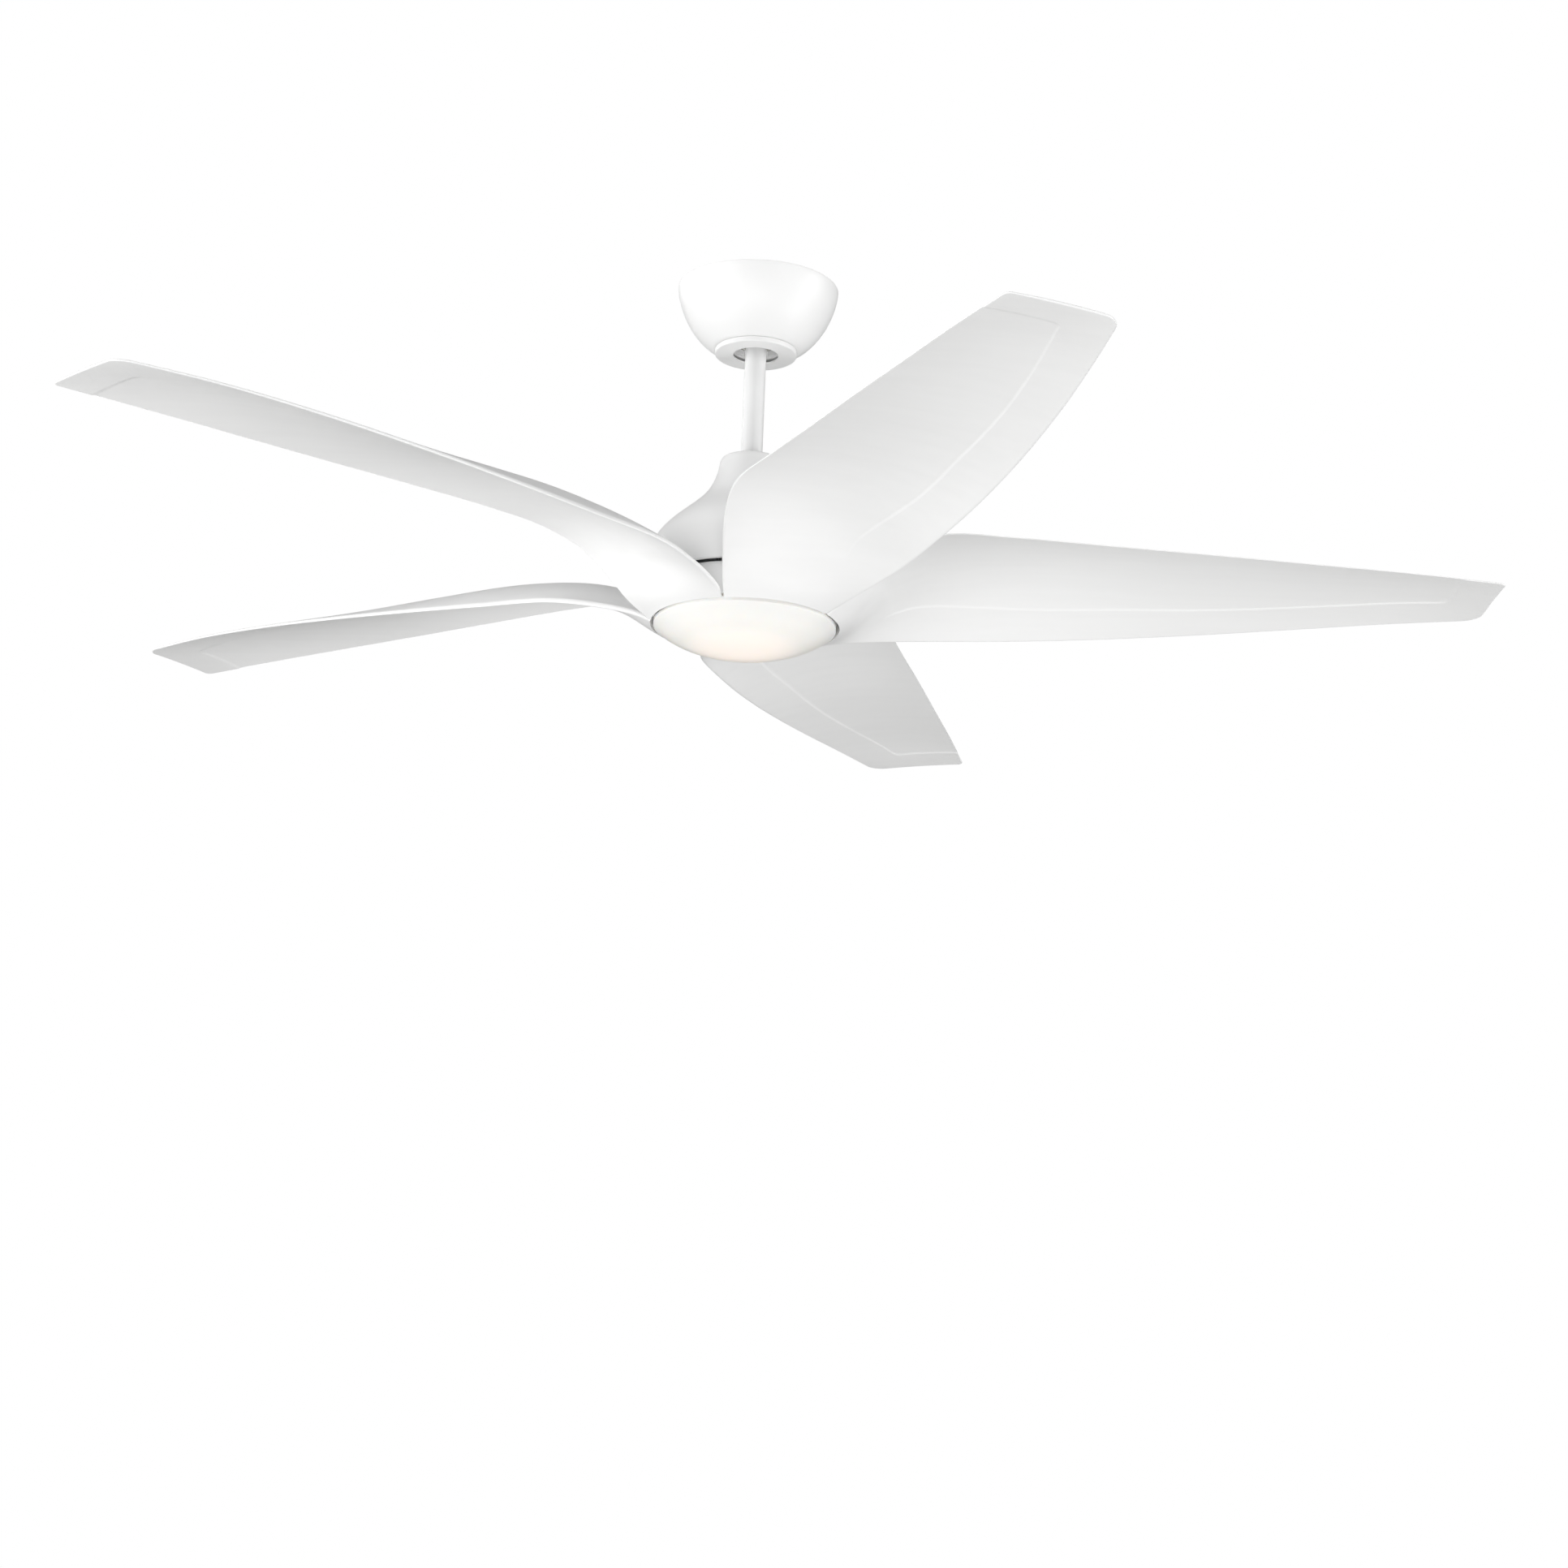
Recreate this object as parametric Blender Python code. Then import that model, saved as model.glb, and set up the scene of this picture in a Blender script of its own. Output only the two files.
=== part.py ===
"""Five-blade ceiling fan with a light.

Metres, +Z up. The origin is the centre of the ceiling plane, so the fan hangs below z = 0.
Sizes are given in millimetres and scaled by MM. The rotor turns about the Z axis, and the
downrod swings about the centre of the hanger ball.
"""
import math

import bmesh
import bpy
from mathutils import Matrix, Vector

MM = 0.001
GAP = 0.3

# Heights below the ceiling, in millimetres
BALL_Z = -48.0
FLANGE_Z = -66.8
FOOT_Z = -65.0
RING_TOP = -67.1
RING_BOTTOM = -72.3
ROD_TOP = -34.0
ROD_BOTTOM = -214.0
BELL_TOP = -185.0
BELL_BOTTOM = -321.5
YOKE_TOP = -188.4
YOKE_PIN_Z = -205.0
YOKE_FLANGE_Z = -222.0
MOTOR_TOP = -262.0
MOTOR_BOTTOM = -319.0
HUB_TOP = -323.5
HUB_BOTTOM = -357.0
PAN_TOP = -331.0
BOARD_TOP = -346.6
BOARD_LOW = BOARD_TOP - 1.6
RIM_Z = -362.5

# Radii, in millimetres
BALL_R = 19.0
SOCKET_R = 22.2
SLOT_X = 44.45
ROD_R = 10.8
CANOPY_R = 82.0
RING_R = 41.7
RING_HOLE_R = 22.8
BELL_R = 98.0
HUB_R = 92.0
DIFFUSER_R = 91.6
SHAFT_R = 8.5
CAN_R = 73.0
STATOR_R = 60.0
HOUSING_SCREW_R = 18.5
PAN_R = 82.0
LED_CIRCLES = ((28, 5), (56, 10))

# Blades
BLADES = 5
SPAN_R = 762.0
FIRST_BLADE_DEG = -67.9
SPAN_STEPS = 10
CHORD_STEPS = 6
CORNER_STRAIGHT = 7.0
CORNER_CURVED = 17.0

SEG = 24
FINE_SEG = 30
SCREW_SEG = 8

WHITE = (0.86, 0.86, 0.85)
STEEL = (0.62, 0.63, 0.65)
COPPER = (0.72, 0.36, 0.18)
LOOKS = {
    "white_paint": (WHITE, 0.38, 0.0),
    "white_blade": ((0.87, 0.87, 0.86), 0.42, 0.0),
    "zinc_steel": (STEEL, 0.35, 1.0),
    "core_steel": ((0.32, 0.33, 0.35), 0.5, 1.0),
    "copper_wire": (COPPER, 0.4, 1.0),
    "grey_plastic": ((0.55, 0.56, 0.57), 0.5, 0.0),
    "nylon": ((0.8, 0.79, 0.74), 0.5, 0.0),
    "magnet": ((0.12, 0.12, 0.13), 0.45, 0.6),
    "board": ((0.9, 0.91, 0.9), 0.4, 0.0),
    "cable_grey": ((0.45, 0.45, 0.46), 0.6, 0.0),
    "opal": ((0.98, 0.94, 0.88), 0.3, 0.0),
}


# ---------------------------------------------------------------- helpers


def clear_scene():
    for item in list(bpy.data.objects):
        bpy.data.objects.remove(item, do_unlink=True)


def material(slot):
    found = bpy.data.materials.get(slot)
    if found:
        return found
    colour, roughness, metallic = LOOKS[slot]
    made = bpy.data.materials.new(slot)
    made.use_nodes = True
    shader = made.node_tree.nodes["Principled BSDF"]
    shader.inputs["Base Color"].default_value = (*colour, 1.0)
    shader.inputs["Roughness"].default_value = roughness
    shader.inputs["Metallic"].default_value = metallic
    made.diffuse_color = (*colour, 1.0)
    return made


def finish(bm, name, slot=None, parent=None):
    """Turns a bmesh in millimetres into a named object in metres."""
    bmesh.ops.scale(bm, vec=(MM, MM, MM), verts=bm.verts)
    bmesh.ops.recalc_face_normals(bm, faces=bm.faces)
    mesh = bpy.data.meshes.new(name)
    bm.to_mesh(mesh)
    bm.free()
    made = bpy.data.objects.new(name, mesh)
    bpy.context.scene.collection.objects.link(made)
    if slot:
        mesh.materials.append(material(slot))
    mesh.shade_smooth()
    mesh.set_sharp_from_angle(angle=math.radians(32))
    if parent:
        attach(made, parent)
    return made


def empty(name, z, parent=None):
    made = bpy.data.objects.new(name, None)
    bpy.context.scene.collection.objects.link(made)
    made.matrix_world = Matrix.Translation((0, 0, z * MM))
    if parent:
        attach(made, parent)
    return made


def attach(child, parent):
    bpy.context.view_layer.update()
    place = child.matrix_world.copy()
    child.parent = parent
    child.matrix_parent_inverse = parent.matrix_world.inverted()
    child.matrix_world = place


def add_turned(bm, profile, segments=SEG, centre=(0.0, 0.0), start=0.0):
    """Turns a closed (radius, z) outline about a vertical axis; radius 0 makes a pole."""
    rings = []
    for radius, z in profile:
        if radius < 1e-6:
            rings.append([bm.verts.new((centre[0], centre[1], z))])
            continue
        ring = []
        for k in range(segments):
            angle = start + 2 * math.pi * k / segments
            x = centre[0] + radius * math.cos(angle)
            y = centre[1] + radius * math.sin(angle)
            ring.append(bm.verts.new((x, y, z)))
        rings.append(ring)
    count = len(rings)
    for i in range(count):
        a = rings[i]
        b = rings[(i + 1) % count]
        if len(a) == 1 and len(b) == 1:
            continue
        for k in range(segments):
            n = (k + 1) % segments
            loop = [a[k % len(a)], a[n % len(a)], b[n % len(b)], b[k % len(b)]]
            corners = []
            for vert in loop:
                if vert not in corners:
                    corners.append(vert)
            bm.faces.new(corners)
    return bm


def turned(name, profile, slot, parent=None, segments=SEG):
    return finish(add_turned(bmesh.new(), profile, segments), name, slot, parent)


def ring_profile(inner, outer, low, high):
    return [(inner, low), (outer, low), (outer, high), (inner, high)]


def rod_profile(radius, low, high):
    return [(0, low), (radius, low), (radius, high), (0, high)]


def add_box(bm, low, high):
    corners = [
        bm.verts.new((x, y, z))
        for x in (low[0], high[0])
        for y in (low[1], high[1])
        for z in (low[2], high[2])
    ]
    for quad in ((0, 1, 3, 2), (4, 6, 7, 5), (0, 4, 5, 1), (2, 3, 7, 6), (0, 2, 6, 4), (1, 5, 7, 3)):
        bm.faces.new([corners[i] for i in quad])
    return corners


def box(name, low, high, slot, parent=None):
    bm = bmesh.new()
    add_box(bm, low, high)
    return finish(bm, name, slot, parent)


def add_post(bm, radius, start, end, segments=12):
    """A plain round bar between two points."""
    start = Vector(start)
    end = Vector(end)
    turn = (end - start).to_track_quat("Z", "Y").to_matrix().to_4x4()
    length = (end - start).length
    before = set(bm.verts)
    add_turned(bm, rod_profile(radius, 0, length), segments)
    new = [v for v in bm.verts if v not in before]
    bmesh.ops.transform(bm, matrix=Matrix.Translation(start) @ turn, verts=new)


def add_screw(bm, head_r, head_h, shank_r, start, direction, length):
    """A screw whose head's inner face is at start and whose shank runs along direction."""
    start = Vector(start)
    direction = Vector(direction).normalized()
    turn = direction.to_track_quat("Z", "Y").to_matrix().to_4x4()
    outline = [
        (0, -head_h),
        (head_r * 0.8, -head_h),
        (head_r, 0),
        (shank_r, 0),
        (shank_r, length),
        (0, length),
    ]
    before = set(bm.verts)
    add_turned(bm, outline, SCREW_SEG)
    new = [v for v in bm.verts if v not in before]
    bmesh.ops.transform(bm, matrix=Matrix.Translation(start) @ turn, verts=new)


def screws(name, places, direction, sizes, parent=None):
    """Equal screws, each its own object; sizes are head radius and height, shank radius, length."""
    head_r, head_h, shank_r, length = sizes
    for number, place in enumerate(places, 1):
        bm = bmesh.new()
        add_screw(bm, head_r, head_h, shank_r, place, direction, length)
        finish(bm, f"{name}_{number}", "zinc_steel", parent)


def tool(bm, name):
    """A solid used only to cut or to join another."""
    made = finish(bm, name)
    made.hide_render = True
    made.display_type = "WIRE"
    return made


def combine(target, others, operation, solver="EXACT"):
    """Applies Boolean steps to target, then removes the tools."""
    for other in others:
        step = target.modifiers.new(operation.lower(), "BOOLEAN")
        step.operation = operation
        step.solver = solver
        step.object = other
    bpy.context.view_layer.update()
    solved = bpy.data.meshes.new_from_object(
        target.evaluated_get(bpy.context.evaluated_depsgraph_get())
    )
    target.modifiers.clear()
    slots = list(target.data.materials)
    target.data = solved
    if slots and not solved.materials:
        solved.materials.append(slots[0])
    for other in others:
        bpy.data.objects.remove(other, do_unlink=True)
    target.data.shade_smooth()
    target.data.set_sharp_from_angle(angle=math.radians(32))
    return target


def post_tool(name, radius, start, end, segments=SCREW_SEG):
    bm = bmesh.new()
    add_post(bm, radius, start, end, segments)
    return tool(bm, name)


def box_tool(name, low, high):
    bm = bmesh.new()
    add_box(bm, low, high)
    return tool(bm, name)


def bezier(p0, p1, p2, p3, steps):
    """Points of a cubic curve, without its first point."""
    points = []
    for i in range(1, steps + 1):
        t = i / steps
        a, b, c, d = (1 - t) ** 3, 3 * t * (1 - t) ** 2, 3 * t * t * (1 - t), t**3
        points.append(tuple(a * p0[k] + b * p1[k] + c * p2[k] + d * p3[k] for k in range(2)))
    return points


def inset_path(path, wall):
    """The path moved inwards by wall, for the inner face of a turned shell."""
    moved = []
    for i, (radius, z) in enumerate(path):
        before = path[max(i - 1, 0)]
        after = path[min(i + 1, len(path) - 1)]
        dr, dz = after[0] - before[0], after[1] - before[1]
        size = math.hypot(dr, dz)
        moved.append((radius + dz / size * wall, z - dr / size * wall))
    return moved


def thinned(path):
    """Every second point of a path, with both ends."""
    return path[:-1:2] + [path[-1]]


def arc_points(centre, radius, start_deg, end_deg, steps):
    """Points of an arc in the (radius, z) plane."""
    points = []
    for i in range(steps + 1):
        angle = math.radians(start_deg + (end_deg - start_deg) * i / steps)
        points.append((centre[0] + radius * math.cos(angle), centre[1] + radius * math.sin(angle)))
    return points


def polar(radius, degrees):
    angle = math.radians(degrees)
    return radius * math.cos(angle), radius * math.sin(angle)


# ---------------------------------------------------------------- ceiling side


def hanger_bracket():
    """Ceiling plate with two legs, a ball socket open on its +Y side, and two feet."""
    plate = box("hanger_bracket", (-55, -18, -2.5), (55, 18, 0), "white_paint")
    parts = []
    for side in (-1, 1):
        bm = bmesh.new()
        add_box(bm, (min(side * 25.5, side * 28.5), -11, -64.5), (max(side * 25.5, side * 28.5), 11, -1))
        parts.append(tool(bm, "leg"))
        bm = bmesh.new()
        add_box(bm, (min(side * 26, side * 38), -8, FOOT_Z), (max(side * 26, side * 38), 8, FOOT_Z + 2.5))
        parts.append(tool(bm, "foot"))
    socket = arc_points((0, BALL_Z), SOCKET_R, -2, -42, 4)
    socket += [(27, BALL_Z - 15), (27, BALL_Z + 2), (SOCKET_R, BALL_Z + 2)]
    parts.append(tool(add_turned(bmesh.new(), socket, SEG), "socket"))
    combine(plate, parts, "UNION")
    cuts = [box_tool("mouth", (-12, 5, BALL_Z - 20), (12, 40, BALL_Z + 8))]
    for side in (-1, 1):
        cuts.append(box_tool("slot", (side * SLOT_X - 6, -2.8, -5), (side * SLOT_X + 6, 2.8, 3)))
        cuts.append(post_tool("foot_hole", 1.8, (side * 33, 0, -75), (side * 33, 0, -62)))
    return combine(plate, cuts, "DIFFERENCE")


def canopy():
    """Bowl open to the ceiling, with a flat flange round the rod."""
    outer = [(CANOPY_R - 0.6, -0.4), (CANOPY_R, -1.4), (CANOPY_R, -3)]
    outer += bezier((CANOPY_R, -3), (80.2, -22), (68, -53), (43.5, FLANGE_Z + 0.1), 8)
    inner = inset_path(outer, 1.4)
    inner[0] = (CANOPY_R - 2.0, -0.4)
    inner = thinned(inner)
    flange = [(41, FLANGE_Z), (25, FLANGE_Z), (25, FLANGE_Z + 1.4), (40, FLANGE_Z + 1.4)]
    bowl = turned("canopy", outer + flange + inner[::-1], "white_paint", segments=FINE_SEG)
    cuts = [post_tool("hole", 1.8, (s * 33, 0, -80), (s * 33, 0, -60), 12) for s in (-1, 1)]
    return combine(bowl, cuts, "DIFFERENCE")


def canopy_ring():
    """Flat cup ring that hides the canopy screws."""
    profile = [
        (RING_R - 1.2, RING_TOP),
        (RING_R - 1.2, RING_BOTTOM + 1.3),
        (RING_HOLE_R, RING_BOTTOM + 1.3),
        (RING_HOLE_R, RING_BOTTOM),
        (RING_R - 1.0, RING_BOTTOM),
        (RING_R, RING_BOTTOM + 1.0),
        (RING_R, RING_TOP),
    ]
    return turned("canopy_ring", profile, "white_paint", segments=FINE_SEG)


def ceiling_side():
    hanger_bracket()
    canopy()
    canopy_ring()
    screws("canopy_screw", [(side * 33, 0, FLANGE_Z - GAP) for side in (-1, 1)], (0, 0, 1), (4.0, 2.4, 1.5, 6.5))
    box("receiver_box", (-24, -16, -20), (24, 16, -2.8), "grey_plastic")
    box("terminal_block", (30.5, -12, -13), (37.5, 12, -2.8), "nylon")


# ---------------------------------------------------------------- hanging part


def hanger(parent):
    seat = arc_points((0, BALL_Z), BALL_R + 0.6, -1, -44, 4)
    seat += arc_points((0, BALL_Z), SOCKET_R - 0.8, -44, -1, 4)
    ball_seat = turned("ball_seat", seat, "nylon", parent, SEG)

    steps = arc_points((0, BALL_Z), BALL_R, -52, 26, 7)
    bore = [(ROD_R + GAP, steps[-1][1]), (ROD_R + GAP, steps[0][1])]
    ball = turned("hanger_ball", steps + bore, "nylon", parent, SEG)
    combine(ball, [post_tool("bore", 3.4, (-25, 0, BALL_Z), (25, 0, BALL_Z), 12)], "DIFFERENCE")

    rod = turned("downrod", ring_profile(8.5, ROD_R, ROD_BOTTOM, ROD_TOP), "white_paint", parent, 24)
    cuts = [post_tool("hole", 3.4, (-25, 0, z), (25, 0, z), 12) for z in (BALL_Z, YOKE_PIN_Z)]
    combine(rod, cuts, "DIFFERENCE")

    bm = bmesh.new()
    add_post(bm, 3.0, (-16, 0, BALL_Z), (16, 0, BALL_Z), 12)
    finish(bm, "ball_pin", "zinc_steel", parent)
    power_cable(parent)
    return ball_seat


def power_cable(parent):
    """Cable that runs down inside the rod and the motor shaft."""
    route = [(0, 5.6, -27), (0, 5.6, -120), (0, 5.6, -195), (0, 5.4, -207), (0, 3.0, -217)]
    route += [(0, 0.6, -225), (0, 0, -236), (0, 0, -300), (0, 0, -340)]
    curve = bpy.data.curves.new("power_cable", "CURVE")
    curve.dimensions = "3D"
    curve.bevel_depth = 2.0 * MM
    curve.bevel_resolution = 2
    curve.use_fill_caps = True
    line = curve.splines.new("POLY")
    line.points.add(len(route) - 1)
    for point, place in zip(line.points, route):
        point.co = (place[0] * MM, place[1] * MM, place[2] * MM, 1.0)
    curve.materials.append(material("cable_grey"))
    made = bpy.data.objects.new("power_cable", curve)
    bpy.context.scene.collection.objects.link(made)
    attach(made, parent)


def yoke(parent):
    """Collar that the rod is pinned into, with flanges above and below."""
    profile = [
        (ROD_R + GAP, YOKE_TOP),
        (ROD_R + GAP, ROD_BOTTOM - GAP),
        (6.0, YOKE_FLANGE_Z),
        (6.0, YOKE_FLANGE_Z - 4),
        (32.0, YOKE_FLANGE_Z - 4),
        (32.0, YOKE_FLANGE_Z),
        (16.0, YOKE_FLANGE_Z),
        (16.0, YOKE_TOP - 3.2),
        (22.0, YOKE_TOP - 3.2),
        (22.0, YOKE_TOP),
    ]
    collar = turned("motor_yoke", profile[::-1], "core_steel", parent, 24)
    cuts = [
        post_tool("pin_hole", 3.4, (-30, 0, YOKE_PIN_Z), (30, 0, YOKE_PIN_Z), 12),
        post_tool("set_hole", 2.9, (0, -30, -197), (0, 30, -197)),
    ]
    for degrees in (30, 150, 270):
        x, y = polar(HOUSING_SCREW_R, degrees)
        cuts.append(post_tool("screw_hole", 2.1, (x, y, -194), (x, y, -180)))
    combine(collar, cuts, "DIFFERENCE")

    bm = bmesh.new()
    add_screw(bm, 5.0, 2.0, 3.0, (-16.3, 0, YOKE_PIN_Z), (1, 0, 0), 37)
    finish(bm, "yoke_pin", "zinc_steel", parent)

    bm = bmesh.new()
    add_turned(bm, ring_profile(3.4, 4.9, -0.6, 0.6), 12)
    turn = Matrix.Translation((18.2, 0, YOKE_PIN_Z)) @ Matrix.Rotation(math.pi / 2, 4, "Y")
    bmesh.ops.transform(bm, matrix=turn, verts=bm.verts)
    finish(bm, "yoke_clip", "zinc_steel", parent)

    for number, side in enumerate((-1, 1), 1):
        bm = bmesh.new()
        add_post(bm, 2.5, (0, side * (ROD_R + GAP), -197), (0, side * 17.5, -197), SCREW_SEG)
        finish(bm, f"yoke_set_screw_{number}", "zinc_steel", parent)


def motor_housing(parent):
    """Bell: a narrow neck that flares to a short straight skirt."""
    outer = [(12.0, BELL_TOP), (26.0, BELL_TOP)]
    outer += bezier((26.0, BELL_TOP), (29.5, -185), (31.5, -187), (32.0, -192), 2)
    outer += bezier((32.0, -192), (34.0, -207), (39.5, -219), (48.0, -229), 3)
    outer += bezier((48.0, -229), (69.0, -252), (BELL_R, -266), (BELL_R, -292), 5)
    outer += [(BELL_R, BELL_BOTTOM + 1.0), (BELL_R - 1.0, BELL_BOTTOM), (BELL_R - 3.6, BELL_BOTTOM)]
    inner = inset_path(outer[:-3], 1.8)
    inner[0] = (12.0, BELL_TOP - 1.8)
    inner = thinned(inner) + [(BELL_R - 1.8, BELL_BOTTOM + 4.0), (BELL_R - 3.6, BELL_BOTTOM + 2.6)]
    bell = turned("motor_housing", outer + inner[::-1], "white_paint", parent, FINE_SEG)
    cuts = []
    for degrees in (30, 150, 270):
        x, y = polar(HOUSING_SCREW_R, degrees)
        cuts.append(post_tool("hole", 2.1, (x, y, -190), (x, y, -180)))
    combine(bell, cuts, "DIFFERENCE")

    places = [(*polar(HOUSING_SCREW_R, degrees), BELL_TOP + GAP) for degrees in (30, 150, 270)]
    screws("housing_screw", places, (0, 0, -1), (3.4, 2.2, 1.8, 6.4), parent)


def stator(parent):
    """Shaft, toothed core and its coils."""
    low, high = MOTOR_BOTTOM + 11, MOTOR_TOP - 14
    shaft = [
        (5.0, -339),
        (SHAFT_R, -339),
        (SHAFT_R, -230),
        (20.0, -230),
        (20.0, YOKE_FLANGE_Z - 4 - GAP),
        (5.0, YOKE_FLANGE_Z - 4 - GAP),
    ]
    turned("motor_shaft", shaft, "zinc_steel", parent, 24)
    bm = bmesh.new()
    add_post(bm, 13.5, (0, 0, -338), (0, 0, PAN_TOP - 2.0), 6)
    nut = finish(bm, "shaft_nut", "zinc_steel", parent)
    bore = post_tool("bore", SHAFT_R + GAP, (0, 0, -345), (0, 0, -325), 24)
    combine(nut, [bore], "DIFFERENCE")

    teeth = 9
    outline = []
    for tooth in range(teeth):
        middle = 360 / teeth * tooth
        for radius, spread in (
            (34.0, -7.6),
            (54.5, -4.7),
            (56.0, -16.0),
            (STATOR_R, -16.0),
            (STATOR_R, 0.0),
            (STATOR_R, 16.0),
            (56.0, 16.0),
            (54.5, 4.7),
            (34.0, 7.6),
        ):
            outline.append(polar(radius, middle + spread))
    bm = bmesh.new()
    face = bm.faces.new([bm.verts.new((x, y, low)) for x, y in outline])
    raised = bmesh.ops.extrude_face_region(bm, geom=[face])
    lifted = [item for item in raised["geom"] if isinstance(item, bmesh.types.BMVert)]
    bmesh.ops.translate(bm, vec=(0, 0, high - low), verts=lifted)
    core = finish(bm, "stator_core", "core_steel", parent)
    bore = post_tool("bore", SHAFT_R + GAP, (0, 0, low - 5), (0, 0, high + 5), 32)
    combine(core, [bore], "DIFFERENCE")

    coils = []
    for tooth in range(teeth):
        bm = bmesh.new()
        add_coil(bm, math.radians(360 / teeth * tooth), low, high)
        coils.append(tool(bm, "coil"))
    lead_ring = ring_profile(42, 46, high + 3.0, high + 6.0)
    windings = turned("stator_windings", lead_ring, "copper_wire", parent, 24)
    combine(windings, coils, "UNION", "MANIFOLD")


def add_coil(bm, angle, low, high):
    """A square-cornered coil round one tooth."""
    inner = (5.0, (high - low) / 2 + 0.5)
    outer = (8.2, (high - low) / 2 + 4.0)
    middle = (low + high) / 2
    turn = Matrix.Rotation(angle, 3, "Z")
    loops = []
    for radius in (39.0, 53.0):
        for half_y, half_z in (inner, outer):
            loop = []
            for sy, sz in ((-1, -1), (1, -1), (1, 1), (-1, 1)):
                place = turn @ Vector((radius, sy * half_y, middle + sz * half_z))
                loop.append(bm.verts.new(place))
            loops.append(loop)
    near_in, near_out, far_in, far_out = loops
    for a, b in ((near_in, near_out), (near_out, far_out), (far_out, far_in), (far_in, near_in)):
        for k in range(4):
            n = (k + 1) % 4
            bm.faces.new((a[k], a[n], b[n], b[k]))


def light_kit(parent):
    """Pan, driver, board and the static half of the bayonet."""
    floor = PAN_TOP - 1.5
    pan = [
        (SHAFT_R + GAP, PAN_TOP),
        (SHAFT_R + GAP, floor),
        (PAN_R - 1.5, floor),
        (PAN_R - 1.5, -356),
        (PAN_R, -356),
        (PAN_R, PAN_TOP),
    ]
    pan = turned("light_pan", pan, "zinc_steel", parent, SEG)
    posts = [polar(68, degrees) for degrees in (90, 210, 330)]
    bosses = []
    for x, y in posts:
        bm = bmesh.new()
        add_turned(bm, ring_profile(2.4, 4.4, BOARD_TOP + GAP, floor + 0.7), SCREW_SEG, (x, y))
        bosses.append(tool(bm, "boss"))
    combine(pan, bosses, "UNION")
    box("led_driver", (18, -20, -343), (60, 20, floor - GAP), "nylon", parent)

    board = turned("led_board", ring_profile(9.0, 77.5, BOARD_LOW, BOARD_TOP), "board", parent, SEG)
    cuts = [post_tool("hole", 2.3, (x, y, -352), (x, y, -342), 12) for x, y in posts]
    combine(board, cuts, "DIFFERENCE", "MANIFOLD")
    chips = []
    for radius, count in LED_CIRCLES:
        for k in range(count):
            x, y = polar(radius, 360 * k / count + 10)
            low = (x - 2, y - 2, BOARD_LOW - 1.1)
            chips.append(box_tool("chip", low, (x + 2, y + 2, BOARD_LOW + 0.5)))
    combine(board, chips, "UNION", "MANIFOLD")
    places = [(x, y, BOARD_LOW - GAP) for x, y in posts]
    screws("led_screw", places, (0, 0, 1), (4.0, 2.0, 2.0, 13.0), parent)

    ring = turned("diffuser_ring", ring_profile(PAN_R + 0.8, 83.6, -357, -347), "zinc_steel", parent, FINE_SEG)
    tabs = [bayonet_block("tab", 83.2, 84.6, -354.5, -352.6, 90 + 120 * k, 36) for k in range(3)]
    combine(ring, tabs, "UNION", "MANIFOLD")


def bayonet_block(name, inner, outer, low, high, middle_deg, width_deg):
    """A short arc-shaped block used as a bayonet tab or lug."""
    steps = 4
    bm = bmesh.new()
    columns = []
    for k in range(steps + 1):
        degrees = middle_deg + width_deg * (k / steps - 0.5)
        column = []
        for radius, z in ring_profile(inner, outer, low, high):
            column.append(bm.verts.new((*polar(radius, degrees), z)))
        columns.append(column)
    for a, b in zip(columns, columns[1:]):
        for k in range(4):
            n = (k + 1) % 4
            bm.faces.new((a[k], a[n], b[n], b[k]))
    bm.faces.new(columns[0])
    bm.faces.new(columns[-1][::-1])
    return tool(bm, name)


def diffuser(parent):
    """Opal dome with an inner neck that carries three bayonet lugs."""
    edge_z = -359.8
    wall_end = RIM_Z - 2.0
    depth = 24.0
    outer = [(DIFFUSER_R - 0.8, edge_z), (DIFFUSER_R, edge_z - 0.9)]
    for k in range(8):
        radius = DIFFUSER_R * math.cos(math.pi / 2 * k / 7)
        outer.append((radius, dome_z(radius, wall_end, depth)))
    hollow = [(0.0, wall_end - depth + 2.4)]
    for k in range(4, 0, -1):
        radius = (DIFFUSER_R - 2.6) * math.cos(math.pi / 2 * k / 5)
        hollow.append((radius, dome_z(radius * DIFFUSER_R / (DIFFUSER_R - 2.6), wall_end, depth) + 2.4))
    hollow += [(85.4, edge_z - 1.6), (85.4, -349.0), (87.0, -349.0), (87.0, edge_z)]
    dome = turned("diffuser", outer + hollow, "opal", parent, FINE_SEG)
    lugs = [bayonet_block("lug", 84.0, 86.0, -351.9, -350.2, 90 + 120 * k, 16) for k in range(3)]
    return combine(dome, lugs, "UNION", "MANIFOLD")


def dome_z(radius, start, depth):
    """Height of the dome's outer face: nearly flat, with a quick turn at the rim."""
    return start - depth * (1 - (radius / DIFFUSER_R) ** 3)


# ---------------------------------------------------------------- rotor


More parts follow.
